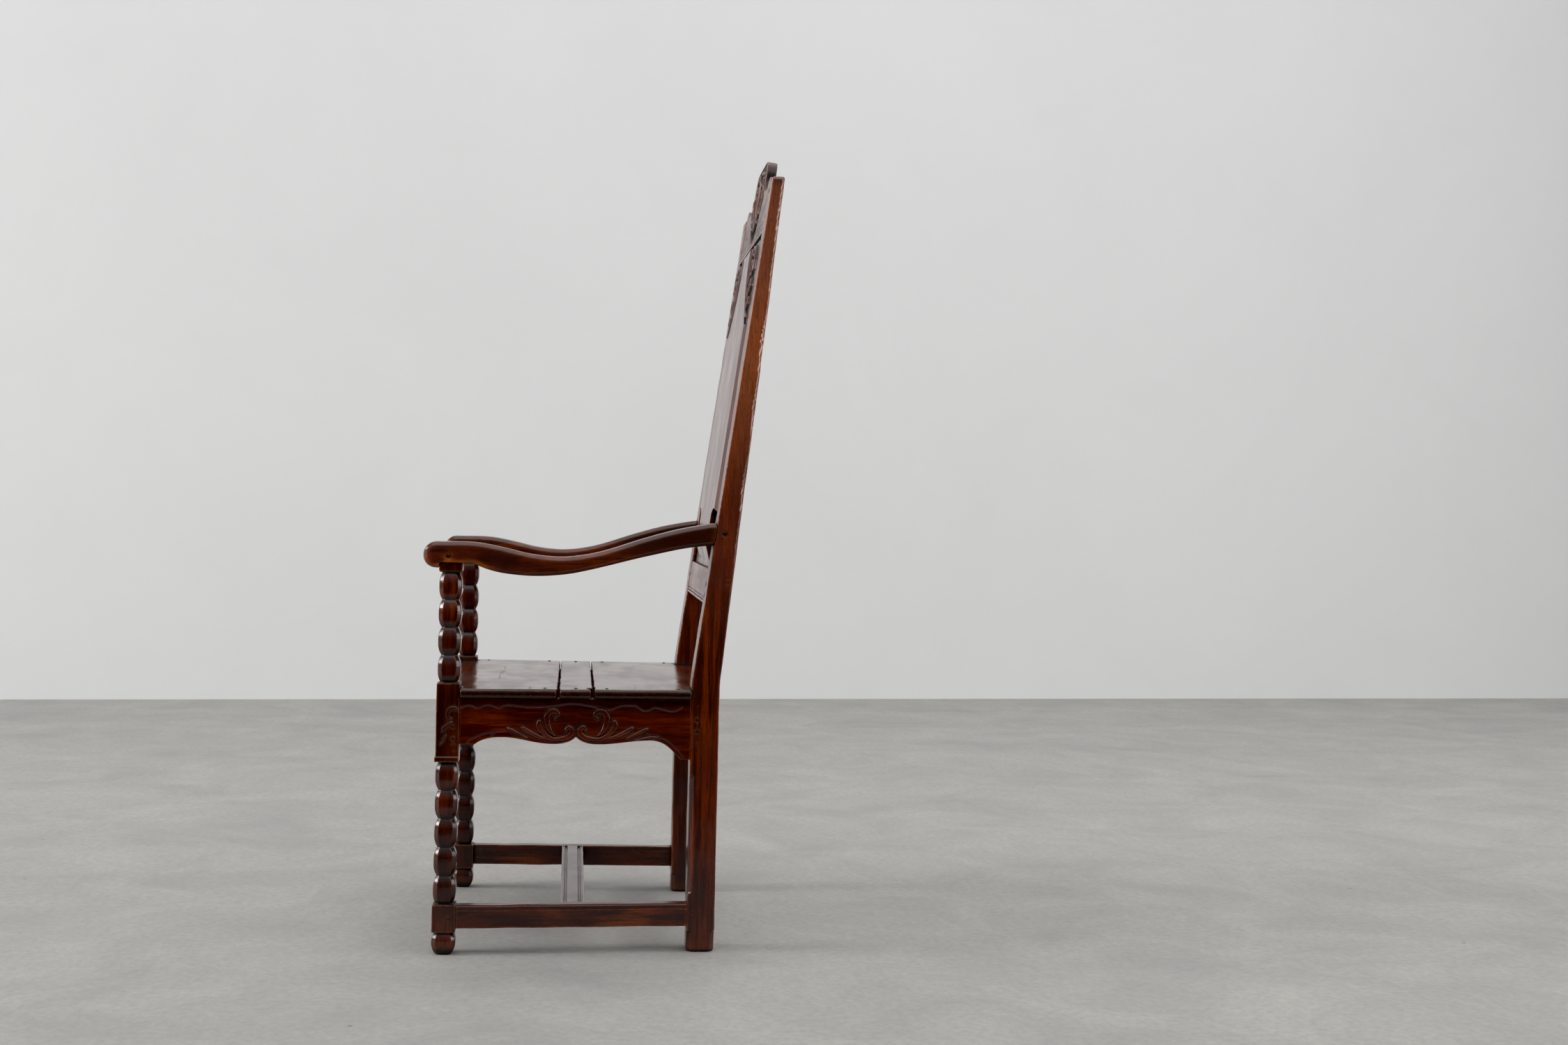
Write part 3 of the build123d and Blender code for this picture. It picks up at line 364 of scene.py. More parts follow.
def unevenness(places, size, seed):
    """A slow random rise and fall, mostly between -1 and 1, over about this many mm."""
    luck = np.random.default_rng(seed)
    total = np.zeros(len(places))
    for _ in range(WAVES):
        way = luck.normal(size=3)
        way *= 2 * math.pi * luck.uniform(0.6, 1.6) / np.linalg.norm(way) / (size * MM)
        total += np.sin(places @ way + luck.uniform(0, 2 * math.pi))
    return total / SPREAD


def rub_down(piece, grid, rounds, depth, seed, table=Matrix()):
    """Rounds the arrises and leaves the faces slightly uneven, as hand tools and use do.

    grid is the size in mm of the fine mesh that the piece gets, laid square to the table. rounds is
    how often it is smoothed, and depth how uneven it is left, in mm.
    """
    piece.data.transform(table.inverted())
    modify(piece, "REMESH", mode="VOXEL", voxel_size=grid * MM * 1)
    modify(piece, "SMOOTH", factor=0.5, iterations=rounds)
    places = read(piece)
    swell = unevenness(places, SWELL, seed) + FINE_SHARE * unevenness(places, FINE_SWELL, seed + 1)
    write(piece, places + read(piece, "normal") * (swell * depth * MM)[:, None])
    piece.data.transform(table)


LINE_STEP = 0.5  # mm between the points of a drawn line
LEAST_HALF = 0.2  # mm, the finest line that a tool leaves
GROUND_REACH, ROLL_REACH, CUT_LINE_REACH = 90, 9, 4  # mm from a line to where it no longer matters
GROUND_SLOPE = 1.2  # mm over which the ground drops beside what stands
FULL_ROLL, LOW_ROLL = 3, 0.45  # half width in mm of a roll of full height, and the least share of it
OUTLINE_OUT, OUTLINE_WIDTH = 0.3, 0.75  # mm from a roll's edge to the cut round it, and its width
DEEP_CUT = 1.3  # the widest cut goes this many times the bite deep


def flowing(knots):
    """A smooth line through given points (x, y, half width) in mm."""
    knots = np.array(knots, float)
    ends = np.vstack([2 * knots[0] - knots[1], knots, 2 * knots[-1] - knots[-2]])
    line = []
    for before, start, end, after in zip(ends, ends[1:], ends[2:], ends[3:]):
        count = max(2, int(np.linalg.norm(end[:2] - start[:2]) / LINE_STEP))
        t = np.linspace(0, 1, count, endpoint=False)[:, None]
        line.append(0.5 * (2 * start + (end - before) * t
                           + (2 * before - 5 * start + 4 * end - after) * t ** 2
                           + (3 * start - before - 3 * end + after) * t ** 3))
    return np.vstack(line + [knots[-1:]])


def near(line, flat, reach):
    """Which points lie by a line, how far from its middle, and its half width there."""
    low, high = line[:, :2].min(0) - reach, line[:, :2].max(0) + reach
    chosen = np.flatnonzero(((flat > low) & (flat < high)).all(1))
    gap = np.full(len(chosen), 1e9)
    half = np.zeros(len(chosen))
    for x, y, width in line:
        away = np.hypot(flat[chosen, 0] - x, flat[chosen, 1] - y)
        closer = away - width < gap - half
        gap[closer], half[closer] = away[closer], width
    return chosen, gap, np.maximum(half, LEAST_HALF)


def relief(flat, rolls=(), cuts=(), sunk=(), rise=0.0, bite=1.2, sink=0.0):
    """Height of carving in mm: rounded rolls with a cut outline, cut lines, and sunk ground."""
    body, outline = np.zeros(len(flat)), np.zeros(len(flat))
    line_cut, ground = np.zeros(len(flat)), np.zeros(len(flat))
    for knots in sunk:
        chosen, gap, half = near(flowing(knots), flat, GROUND_REACH)
        ground[chosen] = np.maximum(ground[chosen], np.clip((half - gap) / GROUND_SLOPE, 0, 1))
    for knots in rolls:
        chosen, gap, half = near(flowing(knots), flat, ROLL_REACH)
        dome = np.sqrt(np.clip(1 - (gap / half) ** 2, 0, 1)) * np.clip(half / FULL_ROLL, LOW_ROLL, 1)
        body[chosen] = np.maximum(body[chosen], dome)
        edge = np.exp(-((gap - half - OUTLINE_OUT) / OUTLINE_WIDTH) ** 2)
        outline[chosen] = np.maximum(outline[chosen], edge)
    for knots in cuts:
        chosen, gap, half = near(flowing(knots), flat, CUT_LINE_REACH)
        groove = np.clip(1 - gap / half, 0, 1) * np.minimum(half, DEEP_CUT)
        line_cut[chosen] = np.maximum(line_cut[chosen], groove)
    hidden = np.clip(body / LOW_ROLL, 0, 1)  # a roll hides what is cut under it
    raised = body * (rise + sink * ground) - sink * ground
    return raised - bite * outline * (1 - hidden) - bite * line_cut


FACING_OUT = 0.55  # the least that a point's normal turns out of the table to be worked


def carve(piece, table, height, reach=2.0):
    """Works a height over the face that lies in the table's plane, to within reach mm."""
    piece.data.transform(table.inverted())
    places, normals = read(piece), read(piece, "normal")
    face = np.flatnonzero((np.abs(places[:, 2]) < reach * MM) & (normals[:, 2] > FACING_OUT))
    places[face, 2] += height(places[face, :2] / MM) * MM
    write(piece, places)
    piece.data.transform(table)


def dress_piece(piece, material, slot, *nodes, share=1.0):
    """The last of the work on a piece: fewer facets, a smooth skin, its finish and its place."""
    if share < 1:
        modify(piece, "DECIMATE", ratio=share)
    places = read(piece)
    places[:, 2] = np.maximum(places[:, 2], 0)  # the feet are worn level with the floor
    write(piece, places)
    piece.data.materials.clear()
    piece.data.materials.append(material)
    piece.data.shade_smooth()
    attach(piece, "root")
    if nodes:
        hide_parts(*nodes)


def twin(piece, name, material, slot, *nodes):
    """The right-hand piece, made as the mirror image of the left-hand one."""
    other = bpy.data.objects.new(name, piece.data.copy())
    bpy.context.scene.collection.objects.link(other)
    other.data.name = name
    other.data.transform(Matrix.Scale(-1, 4, (1, 0, 0)))
    other.data.flip_normals()
    dress_piece(other, material, slot, *nodes)


def mirrored(*strokes, stretch=1.0):
    """The same strokes on the other side of the middle, drawn out along the piece by stretch."""
    return [[(-x * stretch, y, width) for x, y, width in knots] for knots in strokes]


# ---- Ornament, as lines (x, y, half width) in mm ------------------------------------
# On the rails x is measured from the cusp and y from the floor
scroll = [(-34.8, 400.9, 2.4), (-30.2, 406.8, 3.5), (-35, 412.1, 5), (-43.2, 411.5, 5.2),
          (-48.3, 404.3, 5.2), (-48.7, 396.1, 5), (-46.8, 386.6, 4.5), (-42.5, 378.4, 3.5),
          (-35.9, 371.9, 1.9)]
volute = [(-42.2, 363.6, 2.6), (-27, 365.4, 3.8), (-15.3, 367.8, 4.5), (-7.2, 374.4, 5),
          (-6.7, 381.5, 4.2), (-12.1, 385, 4), (-15.5, 380.9, 3.5)]
wing = [(-61.6, 394.8, 3.5), (-62, 387.7, 5), (-57.8, 379.5, 5), (-49.4, 371.3, 3.8), (-37.5, 366, 2.6),
        (-23.5, 366.6, 1.4)]
frond = [(-89.4, 384.1, 3.1), (-83.5, 380, 4.2), (-74, 374.7, 4), (-61, 368.8, 3.3), (-44.5, 364.8, 1.8)]
outer_frond = [(-113.3, 382.8, 2.6), (-106.8, 379.3, 3.5), (-96.2, 374, 3.1), (-82.1, 367.6, 1.9)]
tip_frond = [(-132.8, 369, 1.9), (-123.2, 369, 2.6), (-109, 366.9, 2.1), (-94.8, 363.3, 1.4)]
REAR_STRETCH = 1.07  # the spray behind the cusp is a little wider than the one before it
FRONT_STRETCH = 1.36  # the front rail is so much longer than the sides
left_spray = [scroll, volute, wing, frond, outer_frond]
right_spray = mirrored(*left_spray, tip_frond, stretch=REAR_STRETCH)
veins = [[(-86, 381, 0.8), (-76, 375.5, 1.0), (-66, 370.8, 0.6)], [(-108, 379.5, 0.7), (-97, 374, 0.9)],
         [(-60.5, 390, 0.7), (-58, 383, 1.0), (-51, 374.5, 0.7)]]
veins += mirrored(*veins, stretch=REAR_STRETCH)
front_rim = [(-184.1, 354.9, 0.9), (-175, 364.3, 1.0), (-159, 372, 1.0), (-141.7, 376.2, 1.0),
             (-117.3, 378.6, 0.8)]
rear_rim = [(120.7, 374.9, 0.8), (136.3, 370.2, 1.0), (153.2, 364.9, 1.0), (167.8, 353, 1.0),
            (185, 334.5, 0.9)]
nick = [(-142.6, 367.9, 1.1), (-139.3, 373.3, 1.5), (-132.4, 376.8, 0.7)]


def scallops(*knots):
    """A border of shallow arches, each from one low point over a crown to the next."""
    return [[(*point, 1.0) for point in knots[i:i + 3]] for i in range(0, len(knots) - 2, 2)]


side_border = scallops(
    (-194.5, 416.6), (-180.7, 421.4), (-164.4, 416.8), (-148.3, 422.1), (-129.6, 417),
    (-114.6, 421.8), (-80.8, 419), (-56.1, 419.5), (-43.3, 420.5), (-1.1, 424.9), (59.3, 415.2),
    (76.9, 421.8), (100.7, 422.6), (117.5, 413.7), (134.1, 419.8), (165.3, 413.4), (181.9, 420.1))
front_border = scallops(*zip(np.linspace(-240, 240, 13), [416, 421.5] * 6 + [416]))  # six arches
front_rims = [[(x * FRONT_STRETCH, y, width) for x, y, width in front_rim]]
front_rims += mirrored(*front_rims)


def side_rail_carving(flat):
    """Sprays either side of the cusp, under a border of arches."""
    return relief(flat, left_spray + right_spray, veins + side_border + [front_rim, rear_rim, nick],
                  rise=1.9, bite=1.4)


def front_rail_carving(flat):
    """The same spray both ways, with the rims drawn out to the wider rail."""
    return relief(flat, left_spray + mirrored(*left_spray), veins + front_border + front_rims,
                  rise=1.9, bite=1.4)


# On a post's block x is measured from its middle and y from the floor
block_scroll = [(16.5, 414.2, 2.4), (9.5, 417.1, 3.3), (2.7, 414.1, 3.6), (-0.6, 407, 3.3), (1.8, 400, 3),
                (6.5, 398.9, 2)]
block_leaf = [(6.6, 393, 2.4), (0.9, 388.3, 3.3), (-5.9, 382.4, 3.3), (-8.6, 377.7, 1.4)]
block_tip = [(-2.2, 370.7, 1.8), (-5.5, 364.8, 2.6), (-8.8, 359, 1.9), (-12.2, 355.5, 0.9)]
block_marks = [[(5.1, 354.3, 0.9), (9.7, 357.9, 1.0), (14.3, 354.4, 0.9)],
               [(8.8, 345, 0.8), (18, 344.4, 0.7)]]


def block_carving(flat):
    """A scroll over two leaves, cut shallower than on the rails."""
    return relief(flat, [block_scroll, block_leaf, block_tip], block_marks, rise=0.9, bite=1.1)


# ---- Front posts ---------------------------------------------------------------------
BELLY, NECK = 0.019, 0.014  # half widths of a bead
PINCH = 0.0006  # how much deeper the rasp cuts the necks
FULLNESS = 2.7  # 2 is a plain curve from neck to neck, and more is a fuller belly


def fill_out_beads(piece):
    """Gives the beads the fuller, barrel-like belly and the sharp necks that a rasp leaves."""
    places = read(piece)
    away = places[:, :2] - (POST_AXIS, POST_MIDDLE)
    for low, high, count in BEADS:
        chosen = (places[:, 2] > low) & (places[:, 2] < high)
        t = np.abs((places[chosen, 2] - low) / (high - low) * count % 1 * 2 - 1)
        before = NECK + (BELLY - NECK) * (1 - t ** 2)
        after = NECK - PINCH + (BELLY - NECK + PINCH) * (1 - t ** FULLNESS)
        places[chosen, :2] += away[chosen] * (after / before - 1)[:, None]
    write(piece, places)


post = blank("left_front_post", "left_front_post_worked")
rub_down(post, 1.05, rounds=1, depth=0.2, seed=3)
fill_out_beads(post)
carve(post, post_side, block_carving, reach=1.0)
carve(post, post_front, block_carving, reach=1.0)
dress_piece(post, post_oak, "post_oak", "left_front_post", share=0.66)
twin(post, "right_front_post_worked", post_oak, "post_oak", "right_front_post")

# ---- Seat rails ----------------------------------------------------------------------
side_rail = blank("left_seat_rail", "left_seat_rail_carved")
rub_down(side_rail, 0.85, rounds=3, depth=0.22, seed=5, table=rail_side)
carve(side_rail, rail_side, side_rail_carving)
dress_piece(side_rail, side_oak, "apron_oak", "left_seat_rail", share=0.6)
twin(side_rail, "right_seat_rail_carved", side_oak, "apron_oak", "right_seat_rail")

front_rail = blank("front_seat_rail", "front_seat_rail_carved")
rub_down(front_rail, 0.9, rounds=3, depth=0.22, seed=7, table=rail_front)
carve(front_rail, rail_front, front_rail_carving)
dress_piece(front_rail, across_oak, "apron_oak", "front_seat_rail", share=0.6)

# ---- Arms ----------------------------------------------------------------------------
arm = blank("left_arm", "left_arm_worn")
rub_down(arm, 1.3, rounds=9, depth=0.35, seed=9, table=rail_side)
dress_piece(arm, arm_oak, "arm_oak", "left_arm", share=0.75)
twin(arm, "right_arm_worn", arm_oak, "arm_oak", "right_arm")

# ---- Rear stiles ---------------------------------------------------------------------
STILE_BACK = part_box("left_rear_stile")[1].y  # back face at the top
STILE_HEIGHT = 1.336
WEAR_STARTS, WEAR_GROWS = 0.55, 0.15  # from this height up and over this run the edge wears more
LEAST_WEAR, MORE_WEAR, TOP_WEAR = 1.6, 3.2, 4.5  # mm: all along, added higher up, and on the top
WEAR_WAVERS, WEAR_WAVE = 1.7, 120  # mm more or less, and from one wave to the next


def wear_back_arris(piece):
    """A wavy chamfer, rubbed along the outer back edge of the stile, and a worn top edge."""
    places = read(piece)
    lean = (STILE_BACK - LEG_FRONT - LEG_DEPTH) / (STILE_HEIGHT - KNEE)
    back_face = LEG_FRONT + LEG_DEPTH + np.clip(places[:, 2] - KNEE, 0, None) * lean
    from_side, from_back = STILE_FACE - places[:, 0], back_face - places[:, 1]
    upper = np.clip((places[:, 2] - WEAR_STARTS) / WEAR_GROWS, 0, 1)
    waver = WEAR_WAVERS * unevenness(places * (0, 0, 1), WEAR_WAVE, seed=21)
    width = (LEAST_WEAR + upper * (MORE_WEAR + waver)) * MM
    extra = np.clip(width - from_side - from_back, 0, None) / 2
    places[:, 0] -= extra
    places[:, 1] -= extra
    from_side, from_top = STILE_FACE - places[:, 0], STILE_HEIGHT - places[:, 2]
    extra = np.clip(TOP_WEAR * MM - from_side - from_top, 0, None) / 2
    places[:, 0] -= extra
    places[:, 2] -= extra
    write(piece, places)


# A joiner's marks and a small square, with x from front to back and y from the floor
stile_marks = [
    [(163.5, 421, 0.7), (166.5, 424.5, 1.1), (171, 422, 0.7)],
    [(163, 354.5, 0.7), (166.5, 359, 1.1), (171, 356, 0.7)],
    [(214.1, 679.3, 0.5), (216.7, 669.8, 0.8), (219.9, 661.5, 1.0), (221.8, 657.9, 0.6)],
    [(209.1, 632.6, 0.8), (209.1, 637.4, 0.8), (209.1, 642.4, 0.8)],
    [(209.1, 642.4, 0.8), (213.3, 642.4, 0.8), (217.8, 642.4, 0.8)],
    [(217.8, 642.4, 0.8), (217.8, 637.4, 0.8), (217.8, 632.6, 0.8)],
    [(217.8, 632.6, 0.8), (213.3, 632.6, 0.8), (209.1, 632.6, 0.8)]]

stile = blank("left_rear_stile", "left_rear_stile_worn")
rub_down(stile, 1.6, rounds=3, depth=0.3, seed=11)
wear_back_arris(stile)
carve(stile, stile_side, lambda flat: relief(flat, cuts=stile_marks), reach=1.0)
dress_piece(stile, stile_oak, "stile_oak", "left_rear_stile", share=0.45)
twin(stile, "right_rear_stile_worn", stile_oak, "stile_oak", "right_rear_stile")

# ---- Crest ---------------------------------------------------------------------------
# x is measured from the middle and y up the back from the crest's lower edge
CREST_LOW = 795.4  # mm up the back
HALF_BACK = 222  # mm from the middle to the end of a moulding line
crest_rolls = [
    [(3, 38, 2.5), (22, 47, 4.5), (44, 61, 5.5), (64, 80, 5.5), (75, 101, 5), (71, 119, 4.5),
     (59, 124, 4.2), (52, 115, 4.2), (58, 108, 3)],
    [(50, 60, 2.5), (72, 60, 5), (92, 68, 5), (108, 84, 2)],
    [(74, 84, 2.5), (91, 90, 5), (101, 104, 2)],
    [(28, 46, 2), (50, 44, 4), (72, 48, 1.5)],
    [(0, 58, 2.5), (0, 92, 4), (0, 126, 5.5)],
    [(4, 58, 2), (13, 90, 3.5), (20, 118, 4.8)],
    [(7, 60, 2), (26, 82, 3.2), (38, 103, 4.5)],
    [(0, 33, 3), (0, 46, 5.5), (0, 52, 3)],
    [(6, 140, 2.5), (28, 138, 4), (46, 136, 3.5), (62, 132, 2)]]
crest_rolls += mirrored(*crest_rolls)
crest_ground = [[(0, 50, 14), (0, 72, 46), (0, 98, 88), (0, 112, 84), (0, 128, 62)],
                [(0, 36, 3), (0, 50, 26)]]


def moulding(half, *heights):
    """Straight cut lines across the back, at these heights and this half width."""
    return [[(-HALF_BACK, y, half), (0, y, half), (HALF_BACK, y, half)] for y in heights]


shoulder_line = [(200, 62, 1.0), (178, 52, 1.2), (150, 40, 1.2), (118, 33, 0.9)]
crest_cuts = [*moulding(1.15, 8, 14.5, 21), shoulder_line, *mirrored(shoulder_line)]


def crest_carving(flat):
    """A palmette between scrolls, in ground sunk 6 mm deep, over three moulding lines."""
    return relief(flat - (0, CREST_LOW), crest_rolls, crest_cuts, crest_ground,
                  rise=1.8, bite=1.6, sink=6)


crest = blank("crest_rail", "crest_rail_carved")
crest_table = back_front @ Matrix.Translation((0, 0, -RAIL_INSET))
rub_down(crest, 1.2, rounds=3, depth=0.25, seed=13, table=crest_table)
carve(crest, crest_table, crest_carving)
dress_piece(crest, crest_oak, "crest_oak", "crest_rail", share=0.62)

# ---- Carved spandrels of the panel ---------------------------------------------------
# x is measured from the middle and y up the back
spandrel_leaves = [
    [(82, 781, 3), (88, 752, 5), (103, 722, 6), (126, 696, 6.5), (152, 674, 6), (180, 654, 5),
     (205, 646, 3)],
    [(95, 740, 3), (106, 756, 5), (120, 770, 5), (136, 774, 4.5), (146, 765, 4), (139, 755, 3)],
    [(118, 708, 3), (134, 722, 5), (150, 740, 5.5), (168, 750, 5.5), (184, 744, 5), (186, 730, 4),
     (175, 724, 3)],
    [(150, 679, 3), (166, 692, 5), (182, 708, 5.5), (197, 713, 5), (206, 703, 4), (199, 694, 3)],
    [(176, 660, 2.5), (188, 672, 4.5), (201, 680, 4.5), (209, 670, 3)],
    [(156, 777, 2.5), (174, 773, 4.5), (192, 766, 5), (205, 752, 4.5), (208, 732, 3)],
    [(112, 740, 2.5), (124, 750, 3.5), (128, 760, 2)],
    [(142, 710, 2.5), (156, 722, 3.5), (162, 732, 2)],
    [(172, 684, 2.5), (184, 692, 3.2), (192, 700, 2)],
    [(160, 762, 2.5), (176, 761, 3.5), (190, 754, 2)]]
spandrel_veins = [
    [(84, 772, 0.6), (91, 748, 1.1), (106, 720, 1.2), (128, 698, 1.2), (154, 676, 1.0), (182, 656, 0.6)],
    [(122, 711, 0.6), (136, 725, 1.1), (152, 742, 1.0), (168, 749, 0.6)],
    [(98, 744, 0.6), (108, 758, 1.0), (122, 769, 0.6)],
    [(154, 682, 0.6), (168, 694, 1.0), (183, 708, 0.6)]]
SPANDREL_MIDDLE, SPANDREL_SIZE = (143, 708), (143, 150)  # mm
GROUND_DEPTH, BACK_DEPTH = 0.4, 5.5  # mm behind the face of the stiles: the ground, and the back
GROUND_SWELL, GROUND_WAVE = 0.12, 200  # mm, and thousandths of the width from one rise to the next


def spandrel(name, side):
    """Leaves in high relief, in the corner that the panel's raised field leaves open."""
    bpy.ops.object.select_all(action="DESELECT")
    cells = 135
    bpy.ops.mesh.primitive_grid_add(x_subdivisions=cells, y_subdivisions=cells, size=1)
    patch = bpy.context.object
    patch.name = patch.data.name = name
    places = read(patch)
    flat = places[:, :2] * SPANDREL_SIZE + SPANDREL_MIDDLE
    height = relief(flat, spandrel_leaves, spandrel_veins, rise=5.2, bite=0.9)
    height += GROUND_SWELL * unevenness(places, GROUND_WAVE, seed=51)
    write(patch, np.column_stack((side * flat[:, 0], flat[:, 1], height - GROUND_DEPTH)) * MM)
    if side < 0:
        patch.data.flip_normals()
    front = read(patch)
    modify(patch, "SOLIDIFY", thickness=5 * MM, offset=-1)
    back = front * (1, 1, 0) - (0, 0, BACK_DEPTH * MM)  # the new side is pressed flat
    write(patch, np.vstack((front, back)))
    patch.data.transform(back_front)
    dress_piece(patch, leaf_oak, "panel_oak", share=0.8)


spandrel("left_spandrel_leaves", 1)
spandrel("right_spandrel_leaves", -1)

# ---- Stretchers and plain rails ------------------------------------------------------
stretcher = blank("left_side_stretcher", "left_side_stretcher_worn")
rub_down(stretcher, 0.8, rounds=1, depth=0.3, seed=41)
dress_piece(stretcher, stretcher_oak, "stretcher_oak", "left_side_stretcher", share=0.4)
twin(stretcher, "right_side_stretcher_worn", stretcher_oak, "stretcher_oak", "right_side_stretcher")

centre = blank("centre_stretcher", "centre_stretcher_worn")
rub_down(centre, 0.85, rounds=1, depth=0.25, seed=43)
dress_piece(centre, foot_oak, "stretcher_oak", "centre_stretcher", share=0.35)

low_rail = blank("back_bottom_rail", "back_bottom_rail_worn")
rub_down(low_rail, 0.9, rounds=1, depth=0.25, seed=45)
carve(low_rail, crest_table, lambda flat: relief(flat, cuts=moulding(1.1, 143.5, 149), bite=1.4))
dress_piece(low_rail, across_oak, "back_rail_oak", "back_bottom_rail", share=0.3)

hidden_rail = blank("rear_seat_rail", "rear_seat_rail_worn")
rub_down(hidden_rail, 1.6, rounds=3, depth=0.4, seed=47)
dress_piece(hidden_rail, across_oak, "plain_rail_oak", "rear_seat_rail", share=0.6)

# ---- Pegs ----------------------------------------------------------------------------
for node in PEGS:
    pegs = blank(node, node + "_domed")
    modify(pegs, "BEVEL", width=0.9 * MM, segments=2, limit_method="ANGLE")
    modify(pegs, "SUBSURF", levels=1, render_levels=1)
    dress_piece(pegs, peg_oak, "peg_oak", node)

# ---- Seat boards ---------------------------------------------------------------------
shake = [(-124.9, -176.4, 1.2), (-80, -174.5, 1.2), (-33.9, -175.7, 1.2), (10, -180.5, 1.2),
         (53.4, -180, 1.2), (90, -177.5, 1.2), (115.5, -178.8, 1.2)]
board_cuts = [shake, [(240, 60, 0.5), (262, 58.5, 0.9), (292, 60, 0.5)],
              [(255, -118, 0.5), (280, -121, 1.0), (296, -119, 0.6)]]
EDGE_LOSS, LOSS_WAVERS, LOSS_WAVE = 0.9, 0.6, 34  # mm lost from a board's edge, and its waver
LEAST_LOSS, MOST_LOSS = 0.2, 2  # mm
SPLINTER_WAVE, SPLINTER_FROM = 9, 0.3  # mm from one to the next, and how high a wave leaves one
CHIP_ENDS = 4  # a chip runs out over a quarter of its half length
CHIP_ROUGH, CHIP_WAVE = 0.15, 6  # share of a chip's depth that wavers, and over how many mm
EDGE_REACH = 24  # mm in from the edge that give way with it


def seat_surface(flat):
    """Long cracks and small cuts in the top of the seat."""
    return relief(flat, cuts=board_cuts, bite=1.6)


def tear(piece, seed, chips):
    """Leaves the long edges of a board ragged, with chips split off.

    chips gives, for the edge at the front (-1) and at the back (1), each chip's middle, half length
    and depth in mm.
    """
    places = read(piece)
    x, y = places[:, 0], places[:, 1]
    for side, lost_chips in chips.items():
        edge = (side * y).max()
        lost = EDGE_LOSS + LOSS_WAVERS * unevenness(places * (1, 0, 0), LOSS_WAVE, seed + side)
        lost = np.clip(lost, LEAST_LOSS, MOST_LOSS)
        splinters = unevenness(places * (1, 0, 0), SPLINTER_WAVE, seed + 3 * side)
        lost += np.clip(splinters - SPLINTER_FROM, 0, 1)
        for middle, half, deep in lost_chips:
            bite = np.clip((1 - np.abs(x / MM - middle) / half) * CHIP_ENDS, 0, 1)
            rough = 1 + CHIP_ROUGH * unevenness(places * (1, 0, 0.4), CHIP_WAVE, seed)
            lost = np.maximum(lost, bite * deep * rough)
        share = np.clip(1 - (edge - side * y) / (EDGE_REACH * MM), 0, 1)
        y -= side * lost * share * MM
    write(piece, places)


boards = (
    ("front_seat_board", 31, {1: ((248, 18, 1.8), (300, 10, 2.6))}),
    ("middle_seat_board", 33, {-1: ((290, 16, 1.8),),
                               1: ((281, 14, 9), (298, 14, 3.2), (205, 20, 1.8))}),
    ("rear_seat_board", 35, {-1: ((262, 15, 2.6), (296, 10, 1.8), (120, 25, 1.5))}))
for board, seed, chips in boards:
    plank = blank(board, board + "_worn")
    rub_down(plank, 1.6, rounds=4, depth=0.2, seed=seed)
    carve(plank, seat_top, seat_surface, reach=1.6)
    tear(plank, seed, chips)
    dress_piece(plank, seat_oak, "seat_oak", board, share=0.35)

# ---- Room ----------------------------------------------------------------------------
FLOOR_END = 1.3  # the lit floor stops here, so that the near sides mirror a dark room
WALL_ENDS = ((-3.795, -1.326), (-4.274, 2.631))  # two points on the foot of the wall
WALL_RUNS_ON, WALL_HEIGHT = 12, 7
SPECK_SPACING = 170  # mm
SPECK_EDGE, SPECK_CORE = 0.026, 0.012  # how far its faint edge and its dark core reach, in spacings


def plain_ground(name, base, shade, grime, broad, mottle, specks, rough):
    """Floated concrete or painted plaster.

    The eye gets soft clouds, broad mm across and clearer with more mottle. On the floor it also gets
    fine grit and a few small dark specks, and specks is how strong they are.
    """
    material = bpy.data.materials.new(name)
    tree = empty_tree(material)
    place = add(tree, "TexCoord", "Object")
    clouds = add(tree, "TexNoise", "Fac", {
        "Vector": place, "Scale": 1 / (broad * MM), "Detail": 12, "Roughness": 0.72, "Distortion": 0.6})
    spread = 0.15 / mottle
    cloudy = add(tree, "MapRange", "Result", {
        "Value": clouds, "From Min": 0.5 - spread, "From Max": 0.5 + spread})
    grit = add(tree, "TexNoise", "Fac", {
        "Vector": place, "Scale": 1 / (14 * MM), "Detail": 6, "Roughness": 0.7})
    gritty = add(tree, "MapRange", "Result", {
        "Value": grit, "From Min": 0.4, "From Max": 0.68, "To Max": 0.55 * specks})
    dots = add(tree, "TexVoronoi", "Distance", {"Vector": place, "Scale": 1 / (SPECK_SPACING * MM)})
    dotted = add(tree, "MapRange", "Result", {
        "Value": dots, "From Min": SPECK_EDGE, "From Max": SPECK_CORE, "To Max": specks})
    colour = tint(base)
    for amount, tone in ((cloudy, shade), (gritty, grime), (dotted, "#4a4744")):
        colour = add(tree, "Mix", MIXED, {FACTOR: amount, FIRST: colour, SECOND: tint(tone)},
                     data_type="RGBA")
    shader = add(tree, "BsdfPrincipled", "BSDF", {"Base Color": colour, "Roughness": rough})
    add(tree, "OutputMaterial", "", {"Surface": shader})
    return material


def ground(name, corners, material):
    """One flat face of the room."""
    mesh = bpy.data.meshes.new(name)
    mesh.from_pydata(corners, [], [range(len(corners))])
    surface = bpy.data.objects.new(name, mesh)
    bpy.context.scene.collection.objects.link(surface)
    mesh.materials.append(material)


